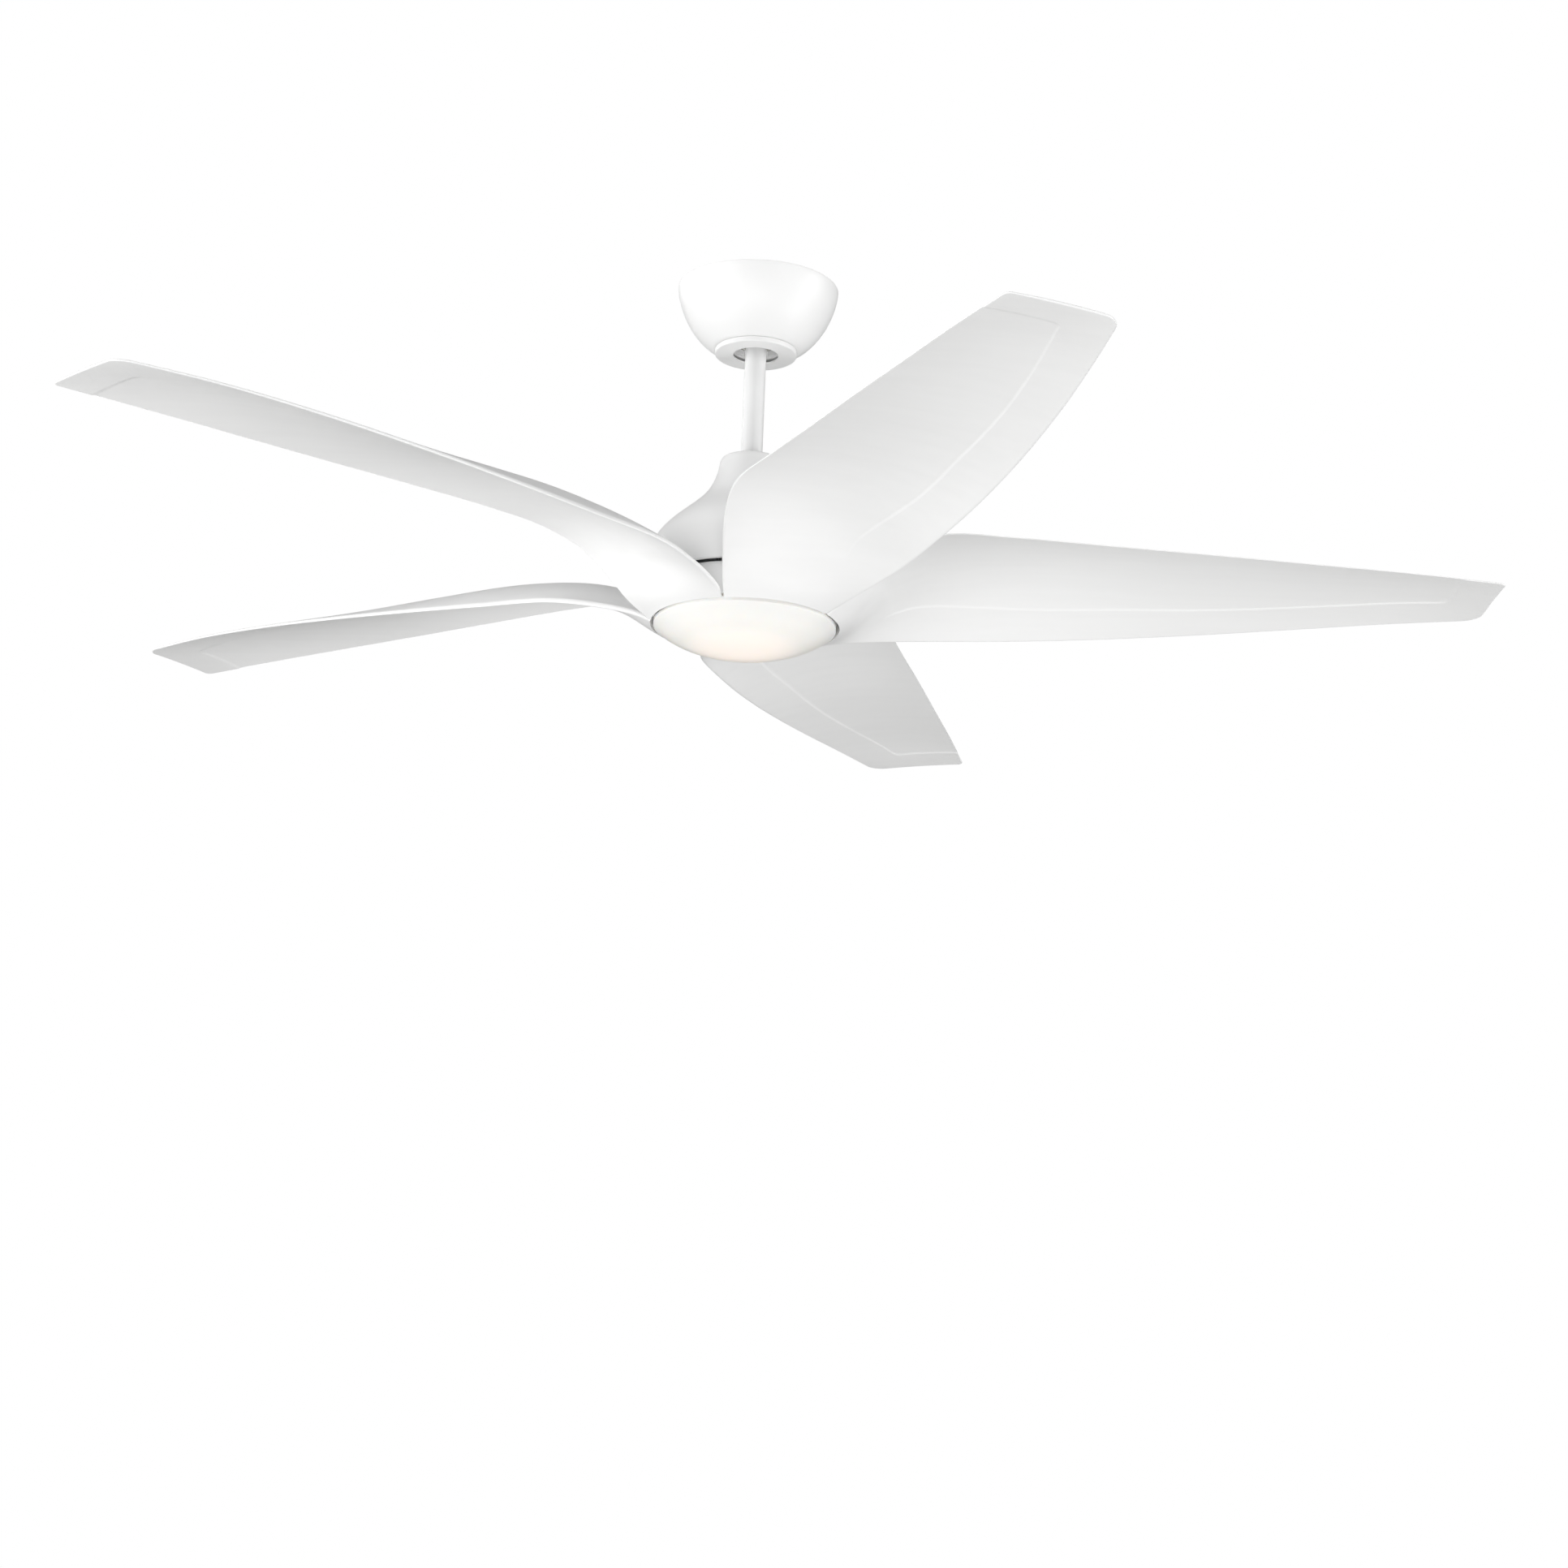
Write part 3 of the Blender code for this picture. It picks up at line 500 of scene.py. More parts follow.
LOOKS = {
    "paint": satin_paint("satin_white_paint", (0.865, 0.866, 0.863), 0.4),
    "rod_paint": satin_paint("rod_white_paint", (0.855, 0.857, 0.855), 0.36, 1100.0),
    "blade": blade_plastic(),
    "zinc": plated_steel("zinc_plate"),
    "bright": plated_steel("bright_zinc", (0.74, 0.74, 0.75), 0.24),
    "core": laminated_steel(),
    "copper": copper_turns(),
    "white": moulded("white_moulding", (0.84, 0.84, 0.83), 0.3),
    "grey": moulded("grey_moulding", (0.52, 0.53, 0.54), 0.48),
    "nylon": moulded("nylon_moulding", (0.80, 0.79, 0.74), 0.45),
    "magnet": ferrite(),
    "board": solder_mask(),
    "cable": cable_jacket(),
    "opal": opal_glow(),
}


# ---------------------------------------------------------------- camera, light and floor

CAMERA_AT_M = (0, -3.806, -1.5707)
CAMERA_YAW_DEG = 0.684
CAMERA_PITCH_DEG = 15.372
CAMERA_ROLL_DEG = 2.176
LENS_MM = 91.39
SENSOR_MM = 36.0

# Each softbox: its direction from the fan, its power in watts and its side in metres
LIT_CENTRE_M = Vector((0, 0, -0.19))
SOFTBOX_DISTANCE_M = 5.0
SOFTBOXES = (
    ("left", (-1.0, -0.1, 0.05), 116, 2.0),
    ("right", (1.0, -0.1, 0.05), 102, 2.0),
    ("left_low", (-0.9, -0.3, -0.5), 52, 2.0),
    ("left_front_low", (-0.6, -0.7, -0.45), 72, 2.0),
    ("right_low", (0.9, -0.3, -0.5), 81, 2.0),
    ("front_low", (0.0, -0.9, -0.5), 62, 2.0),
    ("front_left", (-0.49, -0.82, 0.28), 12, 0.8),
    ("front_right", (0.49, -0.82, 0.28), 14, 0.8),
    ("front_high", (0.0, -0.7, 0.6), 26, 2.0),
    ("back_left", (-0.69, 0.66, 0.30), 24, 1.2),
)
TOP_STRENGTH = 1.4
TOP_SPREAD_DEG = 90
TOP_AT_M = (-0.45, -0.9, 3.0)

WHITE = (1.0, 1.0, 1.0, 1.0)
FLOOR_TONE = (0.30, 0.30, 0.30, 1.0)
AMBIENT_STRENGTH = 0.03
HAZE_TOP = 0.06  # height of the haze over the horizon, as the z of a unit vector

FLOOR_R = 40000.0
FLOOR_Z_M = -7.0


def aim_camera():
    """The camera stands low in front of the fan and looks up at it."""
    yaw, pitch, roll = (math.radians(a) for a in (CAMERA_YAW_DEG, CAMERA_PITCH_DEG, CAMERA_ROLL_DEG))
    level_ahead = Vector((math.sin(yaw), math.cos(yaw), 0))
    ahead = math.cos(pitch) * level_ahead + Vector((0, 0, math.sin(pitch)))
    level = Vector((math.cos(yaw), -math.sin(yaw), 0))
    up = level.cross(ahead)
    right = math.cos(roll) * level + math.sin(roll) * up
    top = math.cos(roll) * up - math.sin(roll) * level
    turn = Matrix((right, top, -ahead)).transposed().to_4x4()
    data = bpy.data.cameras.new("camera")
    data.lens = LENS_MM
    data.sensor_width = SENSOR_MM
    camera = bpy.data.objects.new("camera", data)
    camera.matrix_world = Matrix.Translation(CAMERA_AT_M) @ turn
    bpy.context.scene.collection.objects.link(camera)
    bpy.context.scene.camera = camera


def backdrop():
    """White behind the fan, fading into the floor's tone at the horizon, and almost no light."""
    world = bpy.data.worlds.new("studio")
    bpy.context.scene.world = world
    world.use_nodes = True
    nodes, links = world.node_tree.nodes, world.node_tree.links
    soft = nodes["Background"]
    soft.inputs["Color"].default_value = WHITE
    soft.inputs["Strength"].default_value = AMBIENT_STRENGTH
    seen = nodes.new("ShaderNodeBackground")
    split = nodes.new("ShaderNodeSeparateXYZ")
    links.new(nodes.new("ShaderNodeTexCoord").outputs["Generated"], split.inputs["Vector"])
    haze = nodes.new("ShaderNodeValToRGB")
    haze.color_ramp.interpolation = "EASE"
    floor_end, white_end = haze.color_ramp.elements
    floor_end.position, floor_end.color = 0.0, FLOOR_TONE
    white_end.position, white_end.color = HAZE_TOP, WHITE
    links.new(split.outputs["Z"], haze.inputs["Fac"])
    links.new(haze.outputs["Color"], seen.inputs["Color"])
    mix = nodes.new("ShaderNodeMixShader")
    links.new(nodes.new("ShaderNodeLightPath").outputs["Is Camera Ray"], mix.inputs["Fac"])
    links.new(soft.outputs["Background"], mix.inputs[1])
    links.new(seen.outputs["Background"], mix.inputs[2])
    links.new(mix.outputs["Shader"], nodes["World Output"].inputs["Surface"])


def aimed_lamp(name, light, place_m):
    """Hangs a light at a place, turned towards the fan."""
    lamp = bpy.data.objects.new(name, light)
    lamp.location = place_m
    lamp.rotation_mode = "QUATERNION"
    lamp.rotation_quaternion = (LIT_CENTRE_M - lamp.location).to_track_quat("-Z", "Y")
    bpy.context.scene.collection.objects.link(lamp)
    return lamp


def softboxes():
    """Wide soft lights on every side, and a broad one from above."""
    for name, direction, watts, side in SOFTBOXES:
        light = bpy.data.lights.new(name, "AREA")
        light.energy = watts
        light.size = side
        lamp = aimed_lamp(name, light, LIT_CENTRE_M + Vector(direction).normalized() * SOFTBOX_DISTANCE_M)
        lamp.visible_camera = False
    top = bpy.data.lights.new("top", "SUN")
    top.energy = TOP_STRENGTH
    top.angle = math.radians(TOP_SPREAD_DEG)
    aimed_lamp("top", top, TOP_AT_M)


def pale_floor():
    """Plain disc far below the fan."""
    bm = bmesh.new()
    bmesh.ops.create_circle(bm, cap_ends=True, radius=FLOOR_R, segments=96)
    floor = made_object(bm, "floor")
    floor.location.z = FLOOR_Z_M
    look = Look("pale_floor", (0.66, 0.66, 0.655), 0.6)
    look.shade(look.noise(2.0, 4.0), 0.01)
    look.bump(look.noise(60.0, 3.0), 0.2, 0.1)
    floor.data.materials.append(look.material)


def studio():
    """The view, plain soft light and a pale floor far below the fan."""
    aim_camera()
    backdrop()
    softboxes()
    pale_floor()
    bpy.context.scene.view_settings.view_transform = "Standard"


# ---------------------------------------------------------------- ceiling side


def canopy():
    """Spun bowl with a rolled top edge, open to the ceiling."""
    wall = 1.4
    side_z = -3.0
    foot_r = 43.5
    hole_r = 25.0
    lip = arc((CANOPY_R - wall / 2, -1.1), wall / 2, 90, 0, 5)
    outer = lip + [(CANOPY_R, side_z + 1), (CANOPY_R, side_z)]
    outer += bezier((CANOPY_R, side_z), (80.2, -22), (68, -53), (foot_r, FLANGE_Z + 0.1), 32)
    inner = inset(outer, wall)
    inner = [(CANOPY_R - wall, -1.0)] + inner[len(lip) :]
    flange = [(foot_r - 1.2, FLANGE_Z), (hole_r + 0.4, FLANGE_Z), (hole_r, FLANGE_Z + 0.4)]
    flange += [(hole_r, FLANGE_Z + wall), (foot_r - 2.5, FLANGE_Z + wall)]
    shell = turned("canopy_shell", outer + flange + inner[::-1])
    place(shell, "ceiling_mount", "white_paint", LOOKS["paint"], "canopy")


def canopy_ring():
    """Flat cup ring under the canopy, with the hole that the rod swings in."""
    round_by = 1.1
    hole_round = 0.6
    wall = 1.2
    plate_top = RING_LOW + 1.3
    ring = arc((RING_R - round_by, RING_LOW + round_by), round_by, 0, -90, 6)
    ring += [(RING_HOLE_R + 2 * hole_round, RING_LOW)]
    ring += arc((RING_HOLE_R + hole_round, RING_LOW + hole_round), hole_round, 270, 180, 4)
    ring += [(RING_HOLE_R, plate_top), (RING_R - wall, plate_top), (RING_R - wall, RING_TOP)]
    ring += [(RING_R - 0.3, RING_TOP), (RING_R, RING_TOP - 0.3)]
    cover = turned("canopy_ring_cover", ring)
    place(cover, "ceiling_mount", "white_paint", LOOKS["paint"], "canopy_ring")


def hanger():
    """Moulded ball with a keyway on each side, the seat it rocks in, and the painted pipe."""
    ball = arc((0, BALL_Z), BALL_R, -52, 26, 26)
    bore_r = ROD_R + 0.3
    ball += [(bore_r, ball[-1][1]), (bore_r, ball[0][1])]
    ball = turned("hanger_ball_finish", ball, BALL_SEG)
    key_bottom_r = BALL_R - 1.8
    key_half_wide, key_half_high = 2.2, 12.0
    keyways = []
    for side in (-1, 1):
        x0, x1 = sorted((side * key_bottom_r, side * (BALL_R + 2)))
        low = (x0, -key_half_wide, BALL_Z - key_half_high)
        high = (x1, key_half_wide, BALL_Z + key_half_high)
        keyways.append(box_piece("key", low, high, 0.4))
    boolean(ball, keyways, "DIFFERENCE")
    place(ball, "hanging", "nylon", LOOKS["white"], "hanger_ball")

    seat = arc((0, BALL_Z), BALL_R + 0.6, -1, -44, 14) + arc((0, BALL_Z), SEAT_R, -44, -1, 14)
    seat = turned("ball_seat_liner", seat, BALL_SEG)
    place(seat, "seat", "nylon", LOOKS["nylon"], "ball_seat")

    bore_r = 8.5
    pipe = rounded_band(bore_r, ROD_R, ROD_LOW, ROD_TOP, 0.5, 3)
    pipe = turned("downrod_pipe", pipe, ROD_SEG)
    place(pipe, "hanging", "white_paint", LOOKS["rod_paint"], "downrod")


# ---------------------------------------------------------------- housing, hub and light


def motor_bell():
    """Bell: flat neck top, waist, flare and a short skirt that ends in a rolled bead."""
    wall = 1.8
    hole_r, neck_r = 12.0, 32.0
    waist = (48.0, -229)
    outer = [(hole_r, BELL_TOP), (25.0, BELL_TOP)]
    outer += bezier((25.0, BELL_TOP), (29.5, BELL_TOP), (31.5, BELL_TOP - 2), (neck_r, BELL_TOP - 7), 8)
    outer += bezier((neck_r, -192), (34.0, -207), (39.5, -219), waist, 16)
    outer += bezier(waist, (69.0, -252), (BELL_R, -266), (BELL_R, -292), 28)
    bead = 1.0
    lip_r = BELL_R - 3.6
    rim = arc((BELL_R - bead, BELL_LOW + bead), bead, 0, -90, 6)
    rim += [(lip_r + 0.4, BELL_LOW), (lip_r, BELL_LOW + 0.4), (lip_r, BELL_LOW + 2.6)]
    inner = inset(outer, wall)
    inner[0] = (hole_r, BELL_TOP - wall)
    inner.append((BELL_R - wall, BELL_LOW + 4.0))
    bell = turned("motor_bell", outer + rim + inner[::-1])
    place(bell, "hanging", "white_paint", LOOKS["paint"], "motor_housing")


def hub_drum():
    """Turning drum that carries the blades, with a rounded top edge."""
    wall = 2.5
    lid_low = HUB_TOP - 3
    hole_r = 17.0
    edge = 0.7
    outline = [(hole_r, lid_low), (HUB_R - wall, lid_low), (HUB_R - wall, HUB_LOW)]
    outline += [(HUB_R - 0.4, HUB_LOW), (HUB_R, HUB_LOW + 0.4)]
    outline += arc((HUB_R - edge, HUB_TOP - edge), edge, 0, 90, 6) + [(hole_r, HUB_TOP)]
    drum = turned("hub_drum", outline)
    place(drum, "rotor", "white_paint", LOOKS["paint"], "blade_hub")


def opal_cover():
    """Shallow opal dome, steepest at its rim, with a bayonet neck inside."""
    wall = 2.4
    edge_z = -359.8
    edge_round = 0.9
    start = RIM_Z - 2.0
    neck_in, neck_out = 85.4, 87.0
    outer_steps, inner_steps = 60, 40
    outer = arc((DIFFUSER_R - edge_round, edge_z - edge_round), edge_round, 90, 0, 5)
    for k in range(1, outer_steps):
        share = math.cos(math.pi / 2 * k / outer_steps)
        outer.append((DIFFUSER_R * share, start - DOME_DEPTH * (1 - share**3)))
    outer.append((0.0, start - DOME_DEPTH))
    inside = [(0.0, start - DOME_DEPTH + wall)]
    for k in range(inner_steps - 1, 0, -1):
        share = math.cos(math.pi / 2 * k / inner_steps)
        radius = (DIFFUSER_R - wall - 0.2) * share
        inside.append((radius, start - DOME_DEPTH * (1 - share**3) + wall))
    neck = [(neck_in, edge_z - 1.6), (neck_in, NECK_TOP), (neck_out, NECK_TOP), (neck_out, edge_z)]
    cover = turned("opal_cover", outer + inside + neck)
    place(cover, "light_cover", "opal", LOOKS["opal"], "diffuser")


# ---------------------------------------------------------------- blades

# Stations along a blade, from the light's rim to the tip. x runs out along the blade, y is
# across it (the straight edge has y < 0, the curved edge y > 0), z is below the ceiling.
STRAIGHT_EDGE = {
    "x": (77.6, 100, 140, 190, 265, 355, 455, 560, 660, TIP_X),
    "y": (-55.4, -67.2, -83, -92, -90, -89, -89, -88, -87, -85),
    "z": (RIM_Z, -343, -303, -284.5, -282.5, -284.2, -286.5, -289, -291.5, -295),
}
CURVED_EDGE = {
    "x": (77.6, 93, 130, 185, 265, 355, 455, 560, 660, TIP_X),
    "y": (55.4, 65.5, 78.5, 90.2, 90.5, 87.8, 79.6, 65.3, 46, 22.5),
    "z": (RIM_Z, -356, -348, -340, -334.6, -327.6, -319, -310, -302.8, -299),
}
BOW = (17.8, 14, 7, 1, 0, 0, 0, 0, 0, 0)
CAMBER = (0, -2, 5, 14, 20, 17, 11, 8, 6, 1)
STRAIGHT_THICK = (3.0, 3.6, 3.4, 2.6, 2.0, 1.8, 1.7, 1.6, 1.5, 1.4)
CURVED_THICK = (3.0, 4.2, 5.0, 5.0, 4.6, 4.2, 3.7, 3.1, 2.5, 2.0)
MIDDLE_THICK = (0, 0.4, 1.6, 2.8, 3.0, 2.8, 2.4, 2.0, 1.4, 0.8)
ROOT_RISE = (15, 9, 2, 0, 0, 0, 0, 0, 0, 0)
ROOT_INWARD = (2.2, 3.5, 3, 1.5, 0.3, 0, 0, 0, 0, 0)
ROOT_INWARD_MIDDLE = (0, 4, 0, 0, 0, 0, 0, 0, 0, 0)
CORNER_STRAIGHT = 7.0
CORNER_CURVED = 17.0

# The sunk panel: its long step runs inside the curved edge, and a softer one closes the root
PANEL_X = (170, 230, 300, 400, 520, 620, 710)
PANEL_Y = (42, 49, 52, 44, 31, 12, -12)
PANEL_TIP_X = 713.0
PANEL_DEPTH = 0.85
PANEL_STEP = 2.8
PANEL_CORNER = 9.0
PANEL_ROOT_STEP = 8.0
PANEL_ROOT_X = 143.5
PANEL_ROOT_SLANT = 0.33
PANEL_ROOT_CURVE = 0.0028


def spline(values, share):
    """Catmull-Rom value at share (0 to 1) along evenly numbered control values."""
    last = len(values) - 1
    at = share * last
    i = min(int(at), last - 1)
    t = at - i
    p1, p2 = values[i], values[i + 1]
    p0 = values[i - 1] if i else 2 * p1 - p2
    p3 = values[i + 2] if i + 2 <= last else 2 * p2 - p1
    square = 2 * p0 - 5 * p1 + 4 * p2 - p3
    cube = 3 * p1 - p0 - 3 * p2 + p3
    return 0.5 * (2 * p1 + (p2 - p0) * t + square * t**2 + cube * t**3)


def smooth(value):
    """Rises gently from 0 to 1."""
    value = min(max(value, 0.0), 1.0)
    return value * value * (3 - 2 * value)


def panel_line(x):
    """Where the panel's long step lies across the blade, at a distance out."""
    if x <= PANEL_X[0]:
        return PANEL_Y[0]
    for i in range(len(PANEL_X) - 1):
        if x <= PANEL_X[i + 1]:
            share = (i + (x - PANEL_X[i]) / (PANEL_X[i + 1] - PANEL_X[i])) / (len(PANEL_X) - 1)
            return spline(PANEL_Y, share)
    slope = (PANEL_Y[-1] - PANEL_Y[-2]) / (PANEL_X[-1] - PANEL_X[-2])
    return PANEL_Y[-1] + slope * (x - PANEL_X[-1])


def panel_depth(x, y):
    """How far the underside is sunk at a place on the blade."""
    side = panel_line(x) - y
    end = PANEL_TIP_X - x
    gap = max(PANEL_CORNER - abs(side - end), 0.0)
    inside = min(side, end) - gap * gap / (4 * PANEL_CORNER)
    root = x - (PANEL_ROOT_X + PANEL_ROOT_SLANT * y - PANEL_ROOT_CURVE * y * y)
    return PANEL_DEPTH * smooth(inside / PANEL_STEP + 0.5) * smooth(root / PANEL_ROOT_STEP + 0.5)


def corner_cut(distance, radius):
    """How far a rounded corner pulls the side in, at a distance from the blade's end."""
    if distance >= radius:
        return 0.0
    reach = radius - distance
    return radius - math.sqrt(max(radius * radius - reach * reach, 0.0))


def blade_section(share):
    """Everything about one station of the blade that does not change across it."""
    straight = Vector([spline(STRAIGHT_EDGE[k], share) for k in "xyz"])
    curved = Vector([spline(CURVED_EDGE[k], share) for k in "xyz"])
    width = curved.y - straight.y
    return {
        "straight": straight,
        "curved": curved,
        "width": width,
        "cut_low": corner_cut(TIP_X - straight.x, CORNER_STRAIGHT) / width,
        "cut_high": corner_cut(TIP_X - curved.x, CORNER_CURVED) / width,
        "bow": spline(BOW, share),
        "camber": spline(CAMBER, share),
        "thick": (spline(STRAIGHT_THICK, share), spline(CURVED_THICK, share)),
        "middle": spline(ROOT_RISE, share) + spline(MIDDLE_THICK, share),
        "inward": spline(ROOT_INWARD, share),
        "inward_middle": spline(ROOT_INWARD_MIDDLE, share),
    }


def blade_points(section, across):
    """Lower and upper surface points at a share of the width, with rounded edges."""
    across = section["cut_low"] + across * (1 - section["cut_low"] - section["cut_high"])
    hump = 4 * across * (1 - across)
    low = section["straight"].lerp(section["curved"], across)
    low.x += section["bow"] * hump
    low.z += section["camber"] * hump
    thick = section["thick"][0] * (1 - across) + section["thick"][1] * across
    rise = thick + section["middle"] * hump
    inward = section["inward"] + section["inward_middle"] * hump
    flat = Vector((low.x, low.y, 0)).normalized()
    high = low - flat * inward + Vector((0, 0, rise))
    from_side = min(across - section["cut_low"], 1 - section["cut_high"] - across) * section["width"]
    from_tip = TIP_X - low.x
    round_by = thick * 0.6
    reach = min(max(from_side, 0.0), max(from_tip, 0.0)) / round_by
    full = math.sqrt(1 - (1 - min(reach, 1.0)) ** 2)
    middle = (low + high) / 2
    low = middle + (low - middle) * full
    high = middle + (high - middle) * full
    low.z += panel_depth(low.x, low.y)
    return low, high


def close_steps(start, end, count):
    """Even steps from start, without the end."""
    return [start + (end - start) * k / count for k in range(count)]


def blade_shares():
    """Stations along the span: even, closer at the root, the panel's end and the tip."""
    shares = close_steps(0.0, 0.25, 44) + close_steps(0.25, 0.93, 72)
    shares += close_steps(0.93, 0.96, 14) + close_steps(0.96, 0.99, 8)
    return shares + [0.99, 0.993, 0.996, 0.9975, 0.9985, 0.9993, 0.9998, 1.0]


def blade_columns(section):
    """Shares across the width: close at both edges and along the panel's step."""
    x = (section["straight"].x + section["curved"].x) / 2
    line = (panel_line(x) - section["straight"].y) / section["width"]
    step = PANEL_STEP / section["width"]
    edge = 6.0 / section["width"]
    line = min(max(line, 0.3), 1 - 2 * edge - step)
    rounding = [edge * k for k in (0, 0.02, 0.06, 0.14, 0.26, 0.42, 0.68)]
    columns = rounding + close_steps(edge, line - step, 16) + close_steps(line - step, line + step, 8)
    columns += close_steps(line + step, 1 - edge, 10)
    return columns + [1 - edge] + [1 - share for share in rounding[::-1]]


def blade_mesh():
    """One closed blade, laid out along +X."""
    bm = bmesh.new()
    rows = []
    for share in blade_shares():
        section = blade_section(share)
        pairs = [blade_points(section, across) for across in blade_columns(section)]
        lows = [bm.verts.new(low) for low, _ in pairs]
        highs = [bm.verts.new(high) for _, high in pairs]
        rows.append(lows + highs[::-1])
    count = len(rows[0])
    half = count // 2
    for a, b in zip(rows, rows[1:]):
        for k in range(count):
            n = (k + 1) % count
            bm.faces.new((a[k], b[k], b[n], a[n]))
    for row in (rows[0], rows[-1]):
        for k in range(half - 1):
            bm.faces.new((row[k], row[k + 1], row[count - 2 - k], row[count - 1 - k]))
    bmesh.ops.remove_doubles(bm, verts=bm.verts, dist=0.004)
    return bm


def blades():
    """Five alike mouldings, each with its turn in its mesh."""
    pattern = made_object(blade_mesh(), "blade_pattern", 40)
    for number in range(1, BLADES + 1):
        blade = bpy.data.objects.new(f"blade_moulding_{number}", pattern.data.copy())
        bpy.context.scene.collection.objects.link(blade)
        turn = math.radians(FIRST_BLADE_DEG + BLADE_STEP_DEG * (number - 1))
        blade.data.transform(Matrix.Rotation(turn, 4, "Z"))
        place(blade, "rotor", "white_blade", LOOKS["blade"], f"blade_{number}")
    bpy.data.objects.remove(pattern, do_unlink=True)


# ---------------------------------------------------------------- fasteners


def screw_mesh(name, head_r, head_h, shank_r, length):
    """Pan-head screw along +Z: domed head, cross recess and a cut thread."""
    outline = [(0, -head_h)]
    outline += arc((head_r - head_h * 0.7, -head_h * 0.3), head_h * 0.7, 270, 360, 5)
    outline += [(head_r, -0.05), (head_r - 0.1, 0), (shank_r, 0)]
    pitch = 0.8
    thread_deep = 0.3
    plain = 0.6
    z = plain
    while z + pitch < length - plain:
        outline += [(shank_r - thread_deep, z), (shank_r, z + pitch / 2)]
        z += pitch
    outline += [(shank_r - thread_deep, z), (shank_r - 2 * thread_deep, length), (0, length)]
    made = turned(name, outline, SCREW_SEG)
    arm = head_r * 0.55
    width = head_r * 0.13
    depth = head_h * 0.6
    cuts = [
        box_piece("arm", (-arm, -width, -head_h - 1), (arm, width, -head_h + depth), 0.08),
        box_piece("arm", (-width, -arm, -head_h - 1), (width, arm, -head_h + depth), 0.08),
    ]
    return boolean(made, cuts, "DIFFERENCE")


def screws_along_z(prefix, count, body, head_r, head_h, shank_r, direction):
    """Replaces a row of upright screws; the head's side is opposite to direction."""
    first = None
    for number in range(1, count + 1):
        node = f"{prefix}_{number}"
        low, high = (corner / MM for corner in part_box(node))
        middle = (low + high) / 2
        length = high.z - low.z - head_h
        if first is None:
            first = screw_mesh(f"{node}_finish", head_r, head_h, shank_r, length)
            screw = first
        else:
            screw = bpy.data.objects.new(f"{node}_finish", first.data)
            bpy.context.scene.collection.objects.link(screw)
        seat = low.z + head_h if direction > 0 else high.z - head_h
        screw.location = Vector((middle.x, middle.y, seat)) * MM
        if direction < 0:
            screw.rotation_euler.x = math.pi
        place(screw, body, "zinc_steel", LOOKS["bright"], node)


def fasteners():
    """Rows of screws: head radius, head height, shank radius, and up (1) or down (-1)."""
    screws_along_z("canopy_screw", 2, "ceiling_mount", 4.0, 2.4, 1.5, 1)
    screws_along_z("housing_screw", 3, "hanging", 3.4, 2.2, 1.8, -1)
    screws_along_z("hub_screw", 4, "rotor", 4.2, 2.2, 2.0, 1)
    screws_along_z("led_screw", 3, "hanging", 4.0, 2.0, 2.0, 1)


# ---------------------------------------------------------------- bracket and receiver


def drill(name, radius, length, segments, place_at):
    """A round cutting tool, moved from the origin by a matrix."""
    bm = bmesh.new()
    turn_outline(bm, rod_outline(radius, 0, length), segments, place_at)
    return made_object(bm, name)


def ball_socket():
    """Open ring with a round inner face that holds the seat."""
    outer_r = 27.0
    edge = 0.4
    low, high = BALL_Z - 15, BALL_Z + 2
    outline = arc((0, BALL_Z), SOCKET_R, -2, -42, 12)
    outline += [(outer_r - edge, low), (outer_r, low + edge), (outer_r, high - edge)]
    outline += [(outer_r - edge, high), (SOCKET_R + 0.2, high)]
    return turned("socket", outline, BALL_SEG)


def hanger_bracket():
    """Pressed bracket: slotted plate, bent legs, feet for the canopy screws, ball socket."""
    plate_x, plate_y, thick = 55.0, 18.0, 2.5
    leg_in, leg_out, leg_y = 25.5, 28.5, 11.0
    foot_in, foot_out, foot_y, foot_z = 26.0, 38.0, 8.0, -65.0
    plate = box_piece("hanger_bracket_finish", (-plate_x, -plate_y, -thick), (plate_x, plate_y, 0), 0.5)
    parts = []
    for side in (-1, 1):
        x0, x1 = sorted((side * leg_in, side * leg_out))
        parts.append(box_piece("leg", (x0, -leg_y, foot_z + 0.5), (x1, leg_y, -1), 0.6))
        x0, x1 = sorted((side * foot_in, side * foot_out))
        parts.append(box_piece("foot", (x0, -foot_y, foot_z), (x1, foot_y, foot_z + thick), 0.6))
    parts.append(ball_socket())
    boolean(plate, parts, "UNION")

    slot_x = 88.9 / 2  # the screws of a ceiling box are 88.9 mm apart
    cuts = [box_piece("mouth", (-12, 5, BALL_Z - 20), (12, 40, BALL_Z + 8), 1.5)]
    for side in (-1, 1):
        x = side * slot_x
        cuts.append(box_piece("slot", (x - 6, -2.8, -5), (x + 6, 2.8, 3), 2.6))
        at_foot = Matrix.Translation((side * 33, 0, foot_z - 3))
        cuts.append(drill("foot_hole", 1.8, 8.0, 32, at_foot))
        at_plate = Matrix.Translation((side * 38, 11.5, -6))
        cuts.append(drill("spare_hole", 2.4, 10.0, 32, at_plate))
    boolean(plate, cuts, "DIFFERENCE")
    place(plate, "ceiling_mount", "white_paint", LOOKS["paint"], "hanger_bracket")


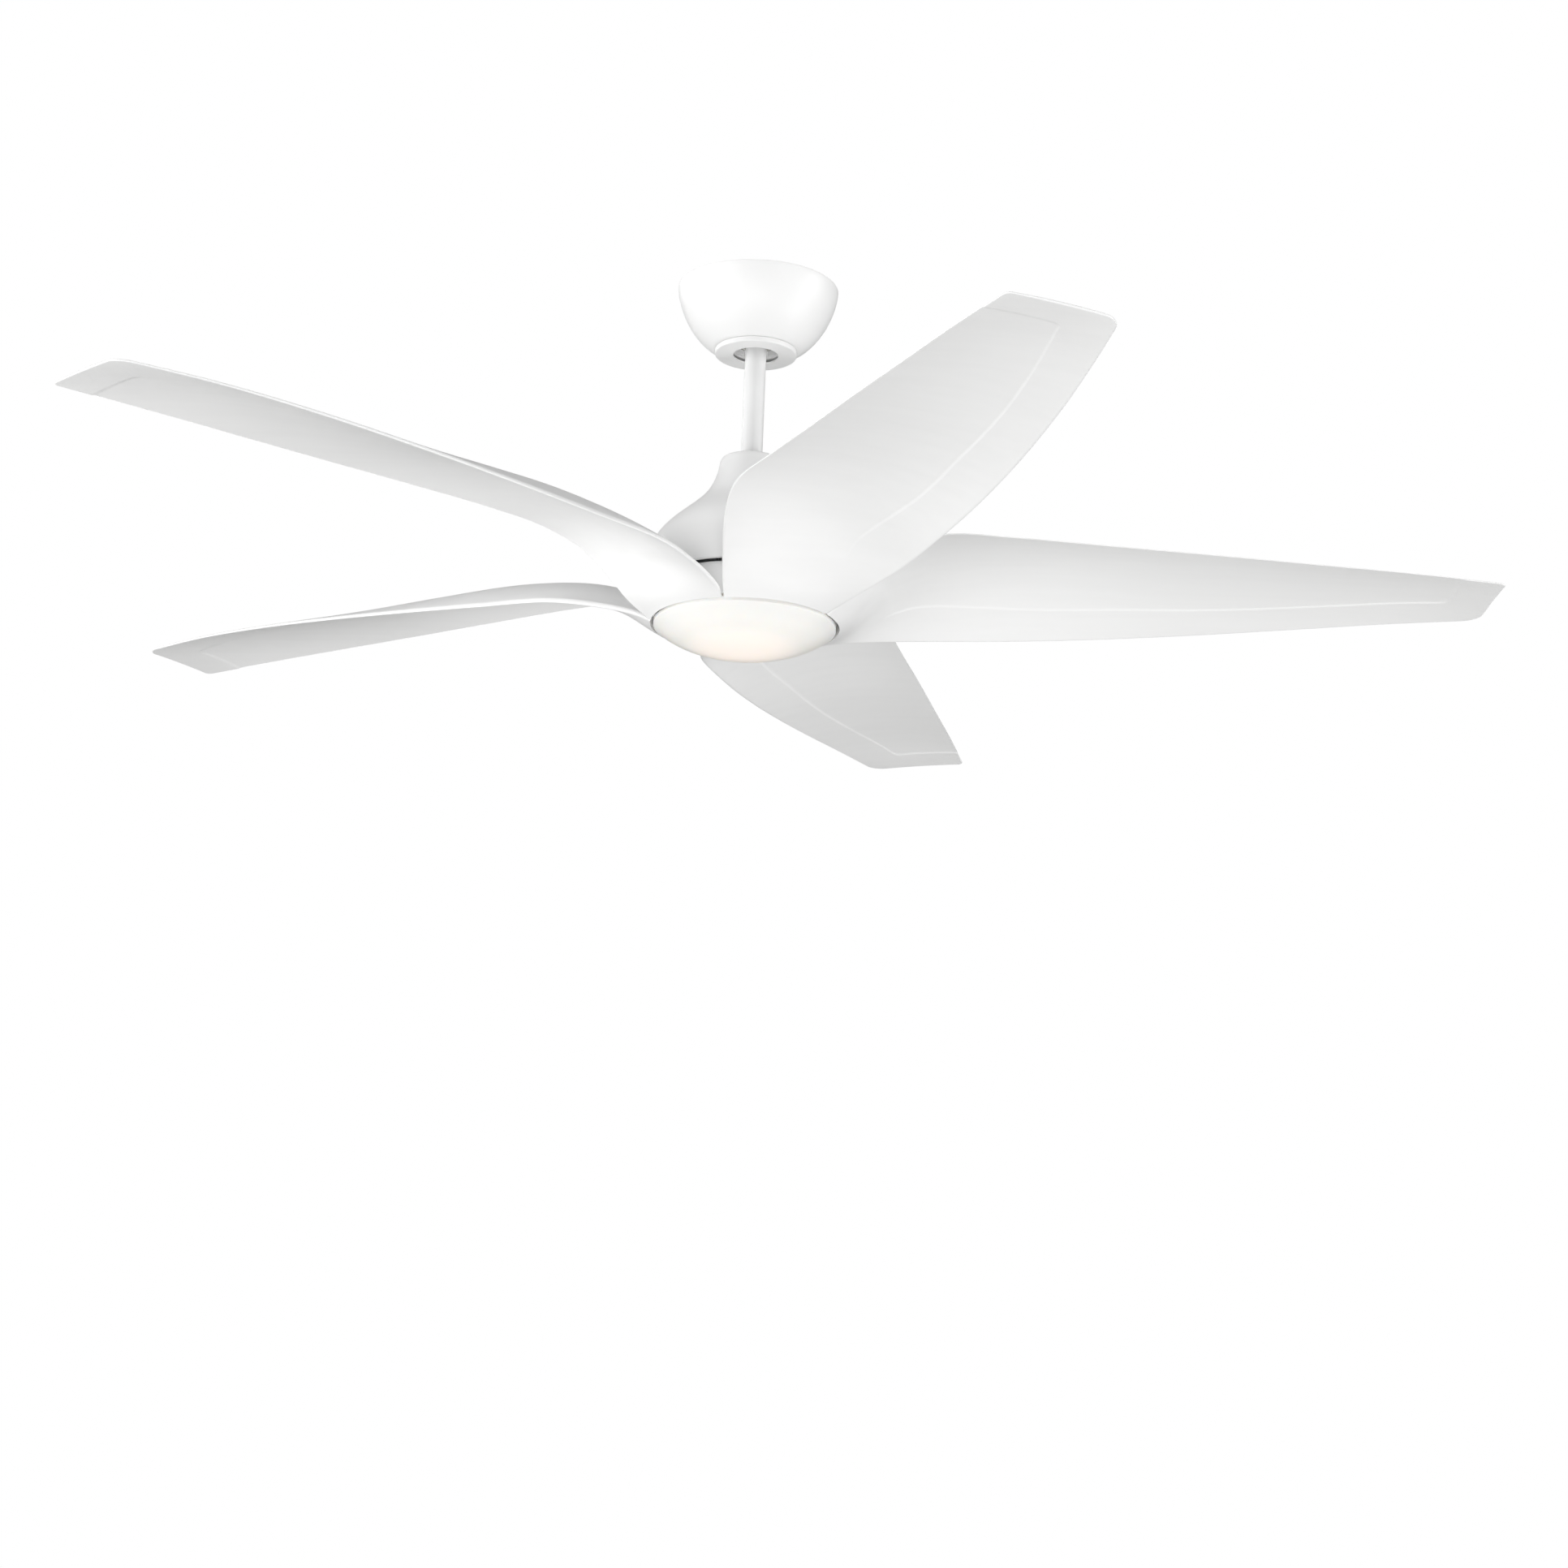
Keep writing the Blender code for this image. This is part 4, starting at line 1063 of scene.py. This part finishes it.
def receiver():
    """Receiver with a stepped lid and four wire exits."""
    low, high = (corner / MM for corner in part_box("receiver_box"))
    middle_z = (low.z + high.z) / 2
    case = box_piece("receiver_case", low, (high.x, high.y, high.z - 1.2), 1.6)
    lid = box_piece("lid", (low.x + 0.8, low.y + 0.8, high.z - 3), high, 1.0)
    boolean(case, [lid], "UNION")
    inwards = Matrix.Rotation(math.pi / 2, 4, "Y")
    exits = []
    for y in (-9, -3, 3, 9):
        at_side = Matrix.Translation((low.x - 2, y, middle_z)) @ inwards
        exits.append(drill("exit", 1.5, 6.0, HOLE_SEG, at_side))
    boolean(case, exits, "DIFFERENCE")
    place(case, "ceiling_mount", "grey_plastic", LOOKS["grey"], "receiver_box")


def terminal_block():
    """Terminal block with three poles and the cuts between them."""
    low, high = (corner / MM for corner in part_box("terminal_block"))
    middle_z = (low.z + high.z) / 2
    pole_step = 8.0
    block = box_piece("terminal_strip", low, high, 0.7)
    inwards = Matrix.Rotation(-math.pi / 2, 4, "Y")
    cuts = []
    for y in (-pole_step, 0, pole_step):
        at_side = Matrix.Translation((high.x + 1, y, middle_z)) @ inwards
        cuts.append(drill("pole", 2.3, 4.0, HOLE_SEG, at_side))
    for y in (-pole_step / 2, pole_step / 2):
        cut_low = (high.x - 1.2, y - 0.4, low.z - 1)
        cut_high = (high.x + 1, y + 0.4, high.z + 1)
        cuts.append(box_piece("cut", cut_low, cut_high, 0.2))
    boolean(block, cuts, "DIFFERENCE")
    place(block, "ceiling_mount", "nylon", LOOKS["nylon"], "terminal_block")


# ---------------------------------------------------------------- carried-over nodes

CARRIED = {
    "core": ("motor_yoke", "stator_core"),
    "copper": ("stator_windings",),
    "magnet": ("magnet_ring",),
    "board": ("led_board",),
    "cable": ("power_cable",),
    "nylon": ("led_driver",),
    "zinc": ("rotor_can", "rotor_lid", "light_pan", "diffuser_ring", "upper_bearing", "lower_bearing"),
    "bright": ("ball_pin", "yoke_pin", "yoke_clip", "motor_shaft", "shaft_nut")
    + tuple(f"yoke_set_screw_{k}" for k in (1, 2))
    + tuple(f"blade_screw_{k}" for k in range(1, 11)),
}


def finish_carried():
    """Gives the nodes that stay as they are a detailed material."""
    for look, names in CARRIED.items():
        for name in names:
            NODES[name].data.materials.clear()
            NODES[name].data.materials.append(LOOKS[look])


studio()
canopy()
canopy_ring()
hanger()
motor_bell()
hub_drum()
opal_cover()
blades()
fasteners()
hanger_bracket()
receiver()
terminal_block()
finish_carried()
